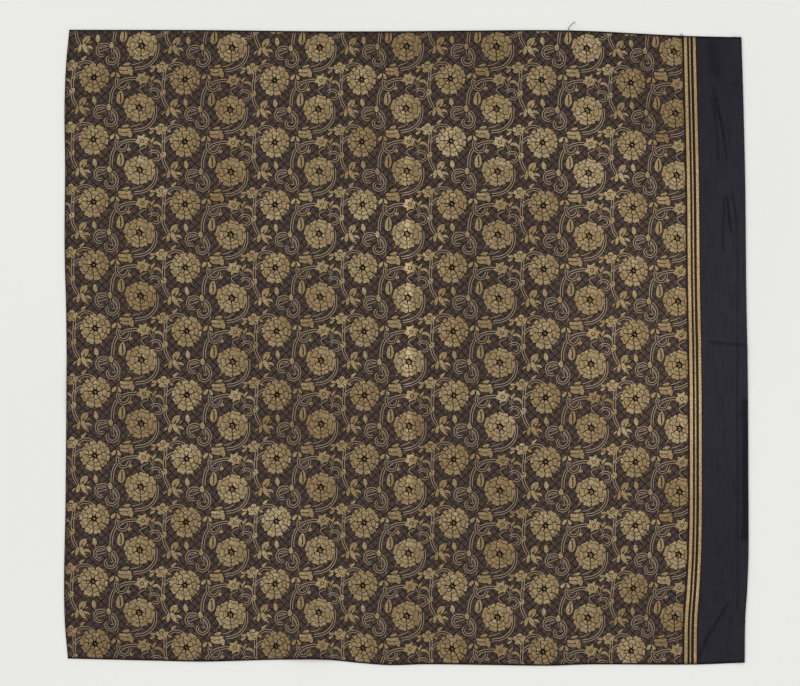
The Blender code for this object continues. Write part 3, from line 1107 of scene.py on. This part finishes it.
def ground_material(settings):
    """The dark satin of the field with its fret, the dark strips by the bars, and the navy end."""
    material, tree, shader = new_material("satin_ground", 0.55)
    place = read(tree, FLAT_PLACE, "Vector")
    x, y = axes(tree, place)
    fret = use_effect(tree, "Diaper fret", Place=place, Long=settings.fret_long, Wide=settings.fret_wide,
                      Uneven=0.35)
    threads = use_effect(tree, "Weft threads", Place=place, Pitch=0.0005, Uneven=0.4)
    # painted light and shade: a faint painted highlight along the middle crease, painted shade at the edges
    light_and_tone = use_effect(tree, "Soft wear", Place=place, Crease_shine=0.25, Edge_dullness=0.30)
    blotch = noise(tree, place, 620.0, 3.0, 0.75)
    tint = noise(tree, place, 190.0, 2.0)
    satin = mixed(tree, between(tree, tint, 0.40, 0.60), (*settings.satin_brown, 1),
                  (*settings.satin_purple, 1))
    satin = mixed(tree, maths(tree, "MULTIPLY", between(tree, fret["Own"], 0.72, 0.80), 0.5), satin,
                  (*settings.satin_blue, 1))
    shine = maths(tree, "ADD", blotch, maths(tree, "MULTIPLY", fret["Inner"], 0.22))
    satin = mixed(tree, between(tree, shine, 0.44, 0.86, 0.0, 0.9), satin, (*settings.fret_gold, 1))
    field = mixed(tree, maths(tree, "MULTIPLY", fret["Line"], 0.86), satin, (*settings.satin_dark, 1))
    strips = mixed(tree, threads["Slub"], (*settings.strip_brown, 1), (*settings.satin_dark, 1))
    plain = plain_weave(tree, place, settings)
    colour = mixed(tree, between(tree, x, FIELD_END - 0.0004, FIELD_END + 0.0002), field, strips)
    colour = mixed(tree, between(tree, x, PLAIN_STARTS - 0.0008, PLAIN_STARTS + 0.0008), colour, plain)
    from_edge = maths(tree, "MINIMUM", y, maths(tree, "SUBTRACT", WIDTH, y))
    edge = between(tree, from_edge, SELVEDGE + 0.0004, SELVEDGE - 0.0006)
    colour = mixed(tree, maths(tree, "MULTIPLY", edge, 0.8), colour, (*settings.satin_dark, 1))
    grain = maths(tree, "ADD", threads["Slub"], maths(tree, "MULTIPLY", blotch, 1.3))
    grain = maths(tree, "MULTIPLY", grain, between(tree, x, FIELD_END, FIELD_END + TONE_FADE, 0.86, 0.0))
    grain = maths(tree, "ADD", grain, between(tree, x, FIELD_END, FIELD_END + TONE_FADE, 0.0, 1.0))
    tints = use_effect(tree, "Thread tints", Place=place, Fine=480.0,
                       Strength=between(tree, x, FIELD_END, FIELD_END + TONE_FADE, 1.25, 0.25))
    put(tree, shader.inputs["Base Color"],
        vector_maths(tree, "MULTIPLY", times(tree, colour, maths(tree, "MULTIPLY", grain, light_and_tone["Factor"])),
                     tints["Tint"]))
    put(tree, shader.inputs["Roughness"], between(tree, blotch, 0.2, 0.8, 0.50, 0.66))
    relief = maths(tree, "SUBTRACT", threads["Rib"], maths(tree, "MULTIPLY", fret["Line"], 0.8))
    set_bump(tree, shader, relief, 0.35, 0.00010)
    return material


def plain_weave(tree, place, settings):
    """Colour of the navy end: fine lines of thread both ways, faded streaks, and a few darker streaks of
    painted shade along its creases.
    """
    up = noise(tree, vector_maths(tree, "MULTIPLY", place, (1.0, 0.06, 1.0)), 520.0, 3.0, 0.7)
    over = noise(tree, vector_maths(tree, "MULTIPLY", place, (0.08, 1.0, 1.0)), 420.0, 3.0, 0.7)
    soft = noise(tree, vector_maths(tree, "MULTIPLY", place, (1.0, 0.25, 1.0)), 60.0, 2.0)
    share = maths(tree, "ADD", maths(tree, "MULTIPLY", up, 0.65), maths(tree, "MULTIPLY", over, 0.35))
    navy = mixed(tree, between(tree, share, 0.24, 0.66), (*settings.navy_dark, 1), (*settings.navy, 1))
    navy = mixed(tree, maths(tree, "MULTIPLY", between(tree, soft, 0.50, 0.72), 0.5), navy,
                 (*settings.navy_soft, 1))
    on_table = tree.nodes.new("ShaderNodeTexCoord").outputs["Object"]
    light = 1.0
    # painted shade along each pressed crease, placed on the laid cloth
    for mark in CREASE_SHADES:
        crease = use_effect(tree, "Crease mark", Place=on_table,
                            Start=(mark.x * MM, mark.y * MM, 0.0),
                            End=(mark.to_x * MM, mark.to_y * MM, 0.0),
                            Width=CREASE_SPREAD * mark.wide * MM, Depth=CREASE_STRENGTH * mark.depth)
        light = maths(tree, "MULTIPLY", light, crease["Light"])
    return times(tree, navy, light)


def wrong_side_material(settings):
    """The underside: dull satin crossed by the gilt wefts that aren't used on the face."""
    material, tree, shader = new_material("wrong_side", 0.75, sheen=0.05)
    place = read(tree, FLAT_PLACE, "Vector")
    x, _ = axes(tree, place)
    threads = use_effect(tree, "Weft threads", Place=place, Pitch=0.0009, Uneven=0.6)
    patch = noise(tree, place, 70.0, 3.0, 0.6, stretch=2.0)
    dull = mixed(tree, between(tree, patch, 0.38, 0.62), (*settings.satin_brown, 1),
                 (*settings.fret_gold, 1))
    field = mixed(tree, maths(tree, "MULTIPLY", threads["Rib"], 0.5), (*settings.satin_dark, 1), dull)
    field = mixed(tree, between(tree, threads["Slub"], 0.55, 0.75, 0.0, 0.45), field,
                  (*settings.gold_deep, 1))
    colour = mixed(tree, between(tree, x, PLAIN_STARTS - 0.001, PLAIN_STARTS + 0.001), field,
                   plain_weave(tree, place, settings))
    put(tree, shader.inputs["Base Color"], colour)
    put(tree, shader.inputs["Roughness"], between(tree, threads["Slub"], 0.2, 0.8, 0.68, 0.84))
    set_bump(tree, shader, threads["Rib"], 0.4, 0.00015)
    return material


def thread_material(name, colour):
    """A spun thread, its colour, roughness and bump finely mottled."""
    material, tree, shader = new_material(name, 0.7, sheen=0.1)
    coordinates = tree.nodes.new("ShaderNodeTexCoord").outputs["Object"]
    fibre = noise(tree, coordinates, 2600.0, 2.0, 0.6)
    put(tree, shader.inputs["Base Color"],
        times(tree, colour, between(tree, fibre, 0.3, 0.7, 0.75, 1.25)))
    put(tree, shader.inputs["Roughness"], between(tree, fibre, 0.3, 0.7, 0.62, 0.80))
    set_bump(tree, shader, fibre, 0.4, 0.0001)
    return material


# ---------------------------------------------------------------- settings

def colour_setting(name, description, default):
    return FloatVectorProperty(name=name, description=description, default=default, size=3,
                               min=0.0, max=1.0, subtype="COLOR")


def size_setting(name, description, default):
    return FloatProperty(name=name, description=description, default=default, min=0.0,
                         subtype="DISTANCE", unit="LENGTH", precision=5)


class BrocadeFigureSettings(PropertyGroup):
    """Sizes and colours of the gold figures."""
    repeat_long: size_setting("Repeat length", "One repeat along the cloth", REPEAT_LONG)
    repeat_wide: size_setting("Repeat width", "One repeat across the cloth", REPEAT_WIDE)
    first_long: size_setting("First peony along", "From the left end to the first peony", FIRST_LONG)
    first_wide: size_setting("First peony across", "From the lower selvedge to the first peony", FIRST_WIDE)
    seed: IntProperty(name="Seed", description="Fixes the shades of petals and repeats", default=7)
    gold_pale: colour_setting("Pale gilt", "Where the gilt is fresh", (0.50, 0.410, 0.245))
    gold_middle: colour_setting("Gilt", "Most of the gilt", (0.292, 0.212, 0.102))
    gold_deep: colour_setting("Deep gilt", "Where the gilt has browned", (0.175, 0.112, 0.048))
    gold_rosy: colour_setting("Rosy gilt", "Where the gilt has reddened", (0.285, 0.180, 0.098))
    gold_faded: colour_setting("Faded gilt", "The fine lines, where gilt has greyed", (0.315, 0.248, 0.190))
    gold_bare: colour_setting("Rubbed weft", "Where the gilt has gone", (0.105, 0.073, 0.042))
    rim_satin: colour_setting("Rim", "Dark satin that rings every figure", (0.009, 0.0046, 0.0030))


class BrocadeClothSettings(PropertyGroup):
    """Sizes and colours of the cloth under the figures."""
    field_step: size_setting("Field step", "Spacing of the sheet's points in the field", 0.005)
    plain_step: size_setting("Plain end step", "Spacing of the sheet's points in the plain end", 0.0026)
    fret_long: size_setting("Lozenge length", "One lozenge of the fret along the cloth", 0.00955)
    fret_wide: size_setting("Lozenge width", "One lozenge of the fret across the cloth", 0.00926)
    satin_dark: colour_setting("Dark satin", "The lines between the lozenges", (0.013, 0.0074, 0.0060))
    satin_brown: colour_setting("Brown satin", "The satin where it has browned", (0.051, 0.0345, 0.0250))
    satin_purple: colour_setting("Purple satin", "The satin where its dye shows", (0.053, 0.0355, 0.0382))
    satin_blue: colour_setting("Blue satin", "Lozenges that have stayed blue", (0.034, 0.030, 0.040))
    fret_gold: colour_setting("Fret", "Dull gold threads inside the lozenges", (0.100, 0.072, 0.054))
    strip_brown: colour_setting("Strips", "Cloth between the gold bars", (0.034, 0.021, 0.015))
    navy: colour_setting("Navy", "The plain end", (0.0265, 0.0253, 0.0340))
    navy_dark: colour_setting("Dark navy", "Darker threads of the plain end", (0.0135, 0.0128, 0.0180))
    navy_soft: colour_setting("Faded navy", "Faded streaks of the plain end", (0.0245, 0.0240, 0.0275))
    gold_deep: colour_setting("Weft behind", "Gilt weft on the underside", (0.18, 0.11, 0.045))


class BrocadeStageSettings(PropertyGroup):
    """Floor, light and camera."""
    floor_colour: colour_setting("Floor", "The pale floor", (0.815, 0.820, 0.790))
    camera_height: size_setting("Camera height", "Camera above the cloth's face", 2.593)
    camera_along: FloatProperty(name="Camera along", description="Camera's place along the cloth",
                                default=-0.00735, subtype="DISTANCE", unit="LENGTH", precision=5)
    camera_across: FloatProperty(name="Camera across", description="Camera's place across the cloth",
                                 default=0.00555, subtype="DISTANCE", unit="LENGTH", precision=5)
    lens: FloatProperty(name="Lens", description="Focal length in millimetres", default=100.0, min=1.0)
    sky: FloatProperty(name="Soft light", description="Strength of the light from all round",
                       default=0.83, min=0.0)
    sun: FloatProperty(name="Side light", description="Strength of the soft light from the upper left",
                       default=0.80, min=0.0)


# ---------------------------------------------------------------- operators

class BROCADE_OT_blooms(Operator):
    """Weave the large peonies and chrysanthemums, petal by petal"""
    bl_idname = "brocade.blooms"
    bl_label = "Peonies and chrysanthemums"

    def execute(self, context):
        settings = context.scene.brocade_figures
        gilt = gilt_material("gilt_blooms", settings, 1.0, 0.55, 0.55)
        for bloom in (PEONY, CHRYSANTHEMUM):
            def draw(drawing, rng, bloom=bloom):
                draw_bloom(drawing, bloom, rng)
            figured_piece(draw, bloom.name + "_figures", gilt, settings)
        return {"FINISHED"}


class BROCADE_OT_small_blooms(Operator):
    """Weave the small rosettes, stars and knots"""
    bl_idname = "brocade.small_blooms"
    bl_label = "Small blossoms"

    def execute(self, context):
        settings = context.scene.brocade_figures
        gilt = gilt_material("gilt_small_blooms", settings, 1.02, 0.45, 0.55)
        figured_piece(draw_blossoms, "small_blossoms", gilt, settings)
        return {"FINISHED"}


class BROCADE_OT_vines(Operator):
    """Weave the scrolling vine that joins the blooms"""
    bl_idname = "brocade.vines"
    bl_label = "Scrolling vine"

    def execute(self, context):
        settings = context.scene.brocade_figures
        gilt = gilt_material("gilt_vines", settings, 0.88, 0.50, 0.45, faded=0.65)
        figured_piece(draw_vines, "scrolling_vine", gilt, settings)
        return {"FINISHED"}


class BROCADE_OT_sprays(Operator):
    """Weave the lilies, buds, leaves and hooks"""
    bl_idname = "brocade.sprays"
    bl_label = "Lilies, buds and leaves"

    def execute(self, context):
        settings = context.scene.brocade_figures
        gilt = gilt_material("gilt_sprays", settings, 1.0, 0.50, 0.55)
        figured_piece(draw_sprays, "lilies_and_buds", gilt, settings)
        return {"FINISHED"}


class BROCADE_OT_bars(Operator):
    """Weave the three gold bars, thread by thread"""
    bl_idname = "brocade.bars"
    bl_label = "Gold bars"

    def execute(self, context):
        settings = context.scene.brocade_figures
        gilt = gilt_material("gilt_bars", settings, 1.72, 0.30, 0.2)
        for number, bar in enumerate(BARS, 1):
            pitch = bar.wide_mm / bar.threads
            drawing = Drawing()
            span = WIDTH / MM - 2 * BAR_MARGIN_MM
            path = [Vector((0, BAR_MARGIN_MM + span * k / BAR_STEPS)) for k in range(BAR_STEPS + 1)]
            wide = pitch * BAR_THREAD_FULL / 2
            thread = [(-wide, -SUNK, 0.0), (-wide * 0.6, 0.26, 0.0),
                      (wide * 0.6, 0.26, 0.0), (wide, -SUNK, 0.0)]
            drawing.strand(path, [thread] * len(path), 0.5)
            piece = new_piece(f"gold_bar_{number}", drawing_mesh(drawing, f"gold_bar_{number}"))
            modifier = piece.modifiers.new("threads", "NODES")
            modifier.node_group = repeats_tree()
            values = {
                "Columns": bar.threads, "Rows": 1, "Seed": settings.seed + number,
                "Repeat length": pitch * MM, "Repeat width": 0.0,
                "First along": (bar.start_mm + pitch / 2) * MM, "First across": 0.0,
                "Material": gilt,
            }
            set_inputs(modifier, values)
            plain_mesh(piece)
            lay_piece(piece)
            finish_piece(piece)
        drawing = Drawing()
        for turn in WEFT_TURNS:
            outline = []
            for a in (2 * math.pi * k / 8 for k in range(8)):
                outline.append(Vector((turn.along + turn.wide / 2 * math.cos(a),
                                       turn.across + turn.long / 2 * math.sin(a))))
            drawing.float_over(outline, 0.5)
        piece = repeated(drawing, "weft_turns", gilt, settings, in_one_line=True)
        lay_piece(piece)
        finish_piece(piece)
        return {"FINISHED"}


# ---------------------------------------------------------------- the cloth itself

def cloth_rows(settings):
    """Places along the cloth for the sheet's points: (along, height above the face, flat place)."""
    climb_from = LENGTH - HEM_TURN - HEM_CLIMB
    coarse_steps = round(COARSE_UNTIL / settings.field_step)
    fine_steps = round((climb_from - COARSE_UNTIL) / settings.plain_step)
    field = np.linspace(0, COARSE_UNTIL, coarse_steps + 1)
    plain = np.linspace(COARSE_UNTIL, climb_from, fine_steps + 1)
    climb = np.linspace(climb_from, LENGTH - HEM_TURN, 5)
    radius = (2 * CLOTH_THICK + HEM_AIR) / 2
    rows = [(s, 0.0, s) for s in np.concatenate([field, plain[1:], climb[1:]])]
    rows += [(s, 0.0, s) for s in np.linspace(LENGTH - HEM_TURN, LENGTH - radius, 3)[1:]]
    for k in range(1, 7):
        turn = math.pi * k / 6
        rows.append((LENGTH - radius + radius * math.sin(turn), radius * (math.cos(turn) - 1),
                     LENGTH - radius + radius * turn))
    for s in np.linspace(LENGTH - radius, LENGTH - HEM_TURN, 4)[1:]:
        rows.append((s, -2 * radius, 2 * LENGTH - s))
    return np.array(rows)


def cloth_mesh(settings):
    """The sheet's upper face, hem turned under, laid on its folds."""
    rows = cloth_rows(settings)
    across = np.linspace(0, WIDTH, round(WIDTH / settings.field_step) + 1)
    along, over = np.meshgrid(rows[:, 0], across, indexing="ij")
    height = np.repeat(rows[:, 1], len(across))
    flat_along = np.repeat(rows[:, 2], len(across))
    shape = np.stack([along.ravel(), over.ravel(), height], 1)
    faces = []
    for i in range(len(rows) - 1):
        for j in range(len(across) - 1):
            a = i * len(across) + j
            b = a + len(across)
            faces.append((a, b, b + 1, a + 1))
    mesh = bpy.data.meshes.new("ground_cloth")
    mesh.from_pydata(shape.tolist(), [], faces)
    remember_flat(mesh, np.stack([flat_along, over.ravel(), np.zeros(len(shape))], 1))
    set_places(mesh, laid(shape))
    mesh.shade_smooth()
    return mesh


def part_the_map(mesh):
    """Gives the two sides of the cloth places of their own on the map."""
    layer = mesh.uv_layers[FLAT_MAP]
    on_map = np.empty(len(mesh.loops) * 2, np.float32)
    layer.uv.foreach_get("vector", on_map)
    on_map = on_map.reshape(-1, 2)
    side = np.empty(len(mesh.polygons), np.int32)
    mesh.polygons.foreach_get("material_index", side)
    corners = np.empty(len(mesh.polygons), np.int32)
    mesh.polygons.foreach_get("loop_total", corners)
    wrong = np.repeat(side, corners) == 1
    on_map[wrong, 1] *= 0.12
    on_map[~wrong, 1] = 0.14 + 0.86 * on_map[~wrong, 1]
    layer.uv.foreach_set("vector", on_map.ravel())


class BROCADE_OT_ground(Operator):
    """Lay the cloth itself: dark satin with its fret, the strips by the bars and the navy end"""
    bl_idname = "brocade.ground"
    bl_label = "Ground cloth"

    def execute(self, context):
        settings = context.scene.brocade_cloth
        figures = [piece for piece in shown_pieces() if piece.name in WOVEN_IN]
        if len(figures) != len(WOVEN_IN):
            raise RuntimeError("the figures, bars and threads are made before the ground")
        piece = new_piece("ground_cloth", cloth_mesh(settings))
        piece.data.materials.append(ground_material(settings))
        piece.data.materials.append(wrong_side_material(settings))
        solid = piece.modifiers.new("thickness", "SOLIDIFY")
        solid.thickness, solid.offset = CLOTH_THICK, -1.0
        solid.use_even_offset = True
        solid.material_offset = 1
        solid.material_offset_rim = 0
        plain_mesh(piece)
        part_the_map(piece.data)
        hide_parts(NODE)
        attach(piece, BODY)
        return {"FINISHED"}


# ---------------------------------------------------------------- threads and stitch marks

# (name, colour, thickness in mm, points in mm on the laid cloth: x, y, height over the face)
Strand = namedtuple("Strand", "name colour thick_mm points")
LOOSE_THREADS = [
    Strand("end_at_selvedge", "dark", 0.75, [(188.6, 368.6, 0.2), (188.9, 371.0, 0.3), (190.6, 374.4, 1.2),
                                             (193.6, 377.6, 1.6), (197.2, 380.0, 1.2)]),
    Strand("loop_at_selvedge", "dark", 0.55, [(318.8, 360.4, 0.2), (320.4, 362.6, 0.5), (319.9, 364.8, 0.6),
                                              (321.4, 366.0, 0.6), (322.3, 364.4, 0.5), (320.9, 363.0, 0.4)]),
    Strand("red_end", "red", 0.9, [(386.2, 359.2, 0.3), (386.4, 355.6, 0.5), (385.9, 352.0, 0.3)]),
    Strand("red_in_hem", "red", 0.5, [(390.0, 49.6, 0.2), (390.8, 40.0, 0.25), (391.2, 30.0, 0.2),
                                      (391.9, 20.5, 0.25), (392.4, 13.6, 0.15)]),
]

# stitch marks left in the plain end: (x, y, length, turn in degrees), mm and degrees
StitchMark = namedtuple("StitchMark", "x_mm y_mm long_mm turn")
STITCH_MARKS = [
    StitchMark(355.4, 355.2, 1.6, 20), StitchMark(375.2, 355.0, 1.6, -10),
    StitchMark(355.8, 28.0, 1.8, 60), StitchMark(362.8, 27.6, 2.2, 35),
    StitchMark(372.0, 29.4, 2.6, 55), StitchMark(375.2, 27.2, 2.4, 50),
    StitchMark(380.9, 27.6, 1.8, 30),
    StitchMark(362.8, -316.0, 1.6, 80), StitchMark(377.2, -315.0, 2.0, 20),
    StitchMark(382.0, -314.6, 1.6, 70),
    StitchMark(348.0, -342.6, 1.5, 10), StitchMark(361.8, -342.8, 2.2, 0),
    StitchMark(374.4, -342.2, 1.6, 15), StitchMark(386.0, -342.4, 1.6, 0),
]


def height_at(x, y):
    """Height of the cloth's face at a place in plan, its hem counted."""
    x, y = np.float64(x), np.float64(y)
    lift = float(fold_height(x + PLAN_MIDDLE[0], y + PLAN_MIDDLE[1]))
    share = (y + PLAN_MIDDLE[1] + WIDTH / 2) / WIDTH
    edge = LENGTH / 2 - float(on_smooth_curve(RIGHT_EDGE, share)) - PLAN_MIDDLE[0]
    return lift + CLOTH_THICK + float(hem_rise(LENGTH - (edge - x)))


def thread_mesh(strand):
    """A round thread along its points, its ends a little frayed to a point."""
    points = [Vector((x, y)) for x, y, _ in strand.points]
    path = smooth_path(points, 0.5)
    knots = np.linspace(0, len(path) - 1, len(strand.points))
    over = np.interp(np.arange(len(path)), knots, [z for _, _, z in strand.points])
    radius = strand.thick_mm / 2
    sides = 8
    places, faces = [], []
    for i, place in enumerate(path):
        along = (path[min(i + 1, len(path) - 1)] - path[max(i - 1, 0)]).normalized()
        across = Vector((-along.y, along.x))
        thin = min(1.0, 0.45 + 0.4 * min(i, len(path) - 1 - i))
        base = max(height_at(place.x * MM, place.y * MM) / MM, 0.0) + over[i] + radius * 0.4
        for k in range(sides):
            turn = 2 * math.pi * k / sides
            reach = radius * thin * math.cos(turn)
            places.append(((place.x + across.x * reach) * MM, (place.y + across.y * reach) * MM,
                           (base + radius * thin * math.sin(turn)) * MM))
    for i in range(len(path) - 1):
        for k in range(sides):
            after = (k + 1) % sides
            faces.append((i * sides + k, i * sides + after, (i + 1) * sides + after, (i + 1) * sides + k))
    faces.append(tuple(range(sides)))
    faces.append(tuple(range((len(path) - 1) * sides, len(path) * sides)))
    mesh = bpy.data.meshes.new(strand.name)
    mesh.from_pydata(places, [], faces)
    face_outward(mesh)
    return mesh


class BROCADE_OT_threads(Operator):
    """Add the loose ends at the selvedge, the red basting thread and the old stitch marks"""
    bl_idname = "brocade.threads"
    bl_label = "Loose threads and stitch marks"

    def execute(self, context):
        coats = {
            "dark": thread_material("thread_dark", (0.035, 0.030, 0.034)),
            "red": thread_material("thread_red", (0.070, 0.020, 0.020)),
        }
        for strand in LOOSE_THREADS:
            piece = new_piece(strand.name, thread_mesh(strand))
            piece.data.materials.append(coats[strand.colour])
            finish_piece(piece)
        drawing = Drawing()
        for mark in STITCH_MARKS:
            turn = math.radians(mark.turn)
            blade = Blade(mark.x_mm - mark.long_mm / 2 * math.cos(turn),
                          mark.y_mm - mark.long_mm / 2 * math.sin(turn),
                          mark.turn, mark.long_mm, 12, 1.7, 1.0)
            path, widths = blade_path(blade, 4)
            drawing.strand(path, [line_profile(width, dark=True) for width in widths], 0.5)
        piece = new_piece("stitch_marks", drawing_mesh(drawing, "stitch_marks"))
        places = places_of(piece.data)
        for place in places:
            place[2] += height_at(place[0], place[1])
        set_places(piece.data, places)
        piece.data.materials.append(thread_material("thread_holes", (0.0035, 0.0032, 0.0042)))
        finish_piece(piece)
        return {"FINISHED"}


WOVEN_IN = (["peony_figures", "chrysanthemum_figures", "small_blossoms",
             "scrolling_vine", "lilies_and_buds", "gold_bar_1", "gold_bar_2", "gold_bar_3", "weft_turns",
             "stitch_marks"] + [strand.name for strand in LOOSE_THREADS])


# ---------------------------------------------------------------- stage

class BROCADE_OT_stage(Operator):
    """Add the pale floor, the soft light and the camera above the cloth"""
    bl_idname = "brocade.stage"
    bl_label = "Stage"

    def execute(self, context):
        scene, settings = context.scene, context.scene.brocade_stage
        half = 6.0
        mesh = bpy.data.meshes.new("floor")
        mesh.from_pydata([(-half, -half, -0.0003), (half, -half, -0.0003), (half, half, -0.0003),
                          (-half, half, -0.0003)], [], [(0, 1, 2, 3)])
        floor = new_piece("floor", mesh)
        material, tree, shader = new_material("floor_paper", 0.9)
        shader.inputs["Specular IOR Level"].default_value = 0.0
        place = tree.nodes.new("ShaderNodeTexCoord").outputs["Object"]
        cloud = between(tree, noise(tree, place, 1.6, 1.0), 0.3, 0.7, 0.992, 1.008)
        put(tree, shader.inputs["Base Color"], times(tree, tuple(settings.floor_colour), cloud))
        mesh.materials.append(material)
        floor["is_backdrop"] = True

        world = bpy.data.worlds.new("soft_room")
        world.use_nodes = True
        back = world.node_tree.nodes["Background"]
        back.inputs["Color"].default_value = (1.0, 1.0, 1.0, 1.0)
        back.inputs["Strength"].default_value = settings.sky
        scene.world = world

        light = bpy.data.lights.new("window", "SUN")
        light.energy, light.angle = settings.sun, math.radians(50)
        window = bpy.data.objects.new("window", light)
        window.rotation_euler = (math.radians(-30), math.radians(-38), 0.0)
        scene.collection.objects.link(window)

        eye = bpy.data.cameras.new("camera")
        eye.lens, eye.sensor_width = settings.lens, 36.0
        eye.clip_end = 20.0
        camera = bpy.data.objects.new("camera", eye)
        camera.location = (settings.camera_along, settings.camera_across, settings.camera_height)
        scene.collection.objects.link(camera)
        scene.camera = camera
        scene.view_settings.view_transform = "Standard"
        return {"FINISHED"}


# ---------------------------------------------------------------- panel and registration

OPERATORS = [BROCADE_OT_blooms, BROCADE_OT_small_blooms, BROCADE_OT_vines,
             BROCADE_OT_sprays, BROCADE_OT_bars, BROCADE_OT_threads, BROCADE_OT_ground,
             BROCADE_OT_stage]
SETTINGS = [("brocade_figures", BrocadeFigureSettings), ("brocade_cloth", BrocadeClothSettings),
            ("brocade_stage", BrocadeStageSettings)]


class BROCADE_PT_panel(Panel):
    bl_label = "Brocade panel"
    bl_space_type = "VIEW_3D"
    bl_region_type = "UI"
    bl_category = "Brocade"

    def draw(self, context):
        for attribute, kind in SETTINGS:
            box = self.layout.box()
            for name in kind.__annotations__:
                box.prop(getattr(context.scene, attribute), name)
        for operator in OPERATORS:
            self.layout.operator(operator.bl_idname)


def register():
    for kind in [kind for _, kind in SETTINGS] + OPERATORS + [BROCADE_PT_panel]:
        bpy.utils.register_class(kind)
    for attribute, kind in SETTINGS:
        setattr(bpy.types.Scene, attribute, PointerProperty(type=kind))


def unregister():
    for attribute, _ in SETTINGS:
        delattr(bpy.types.Scene, attribute)
    for kind in reversed([kind for _, kind in SETTINGS] + OPERATORS + [BROCADE_PT_panel]):
        bpy.utils.unregister_class(kind)


def main():
    register()
    for operator in OPERATORS:
        group, name = operator.bl_idname.split(".")
        result = getattr(getattr(bpy.ops, group), name)()
        if result != {"FINISHED"}:
            raise RuntimeError(operator.bl_label + " did not finish")


if __name__ == "__main__":
    main()
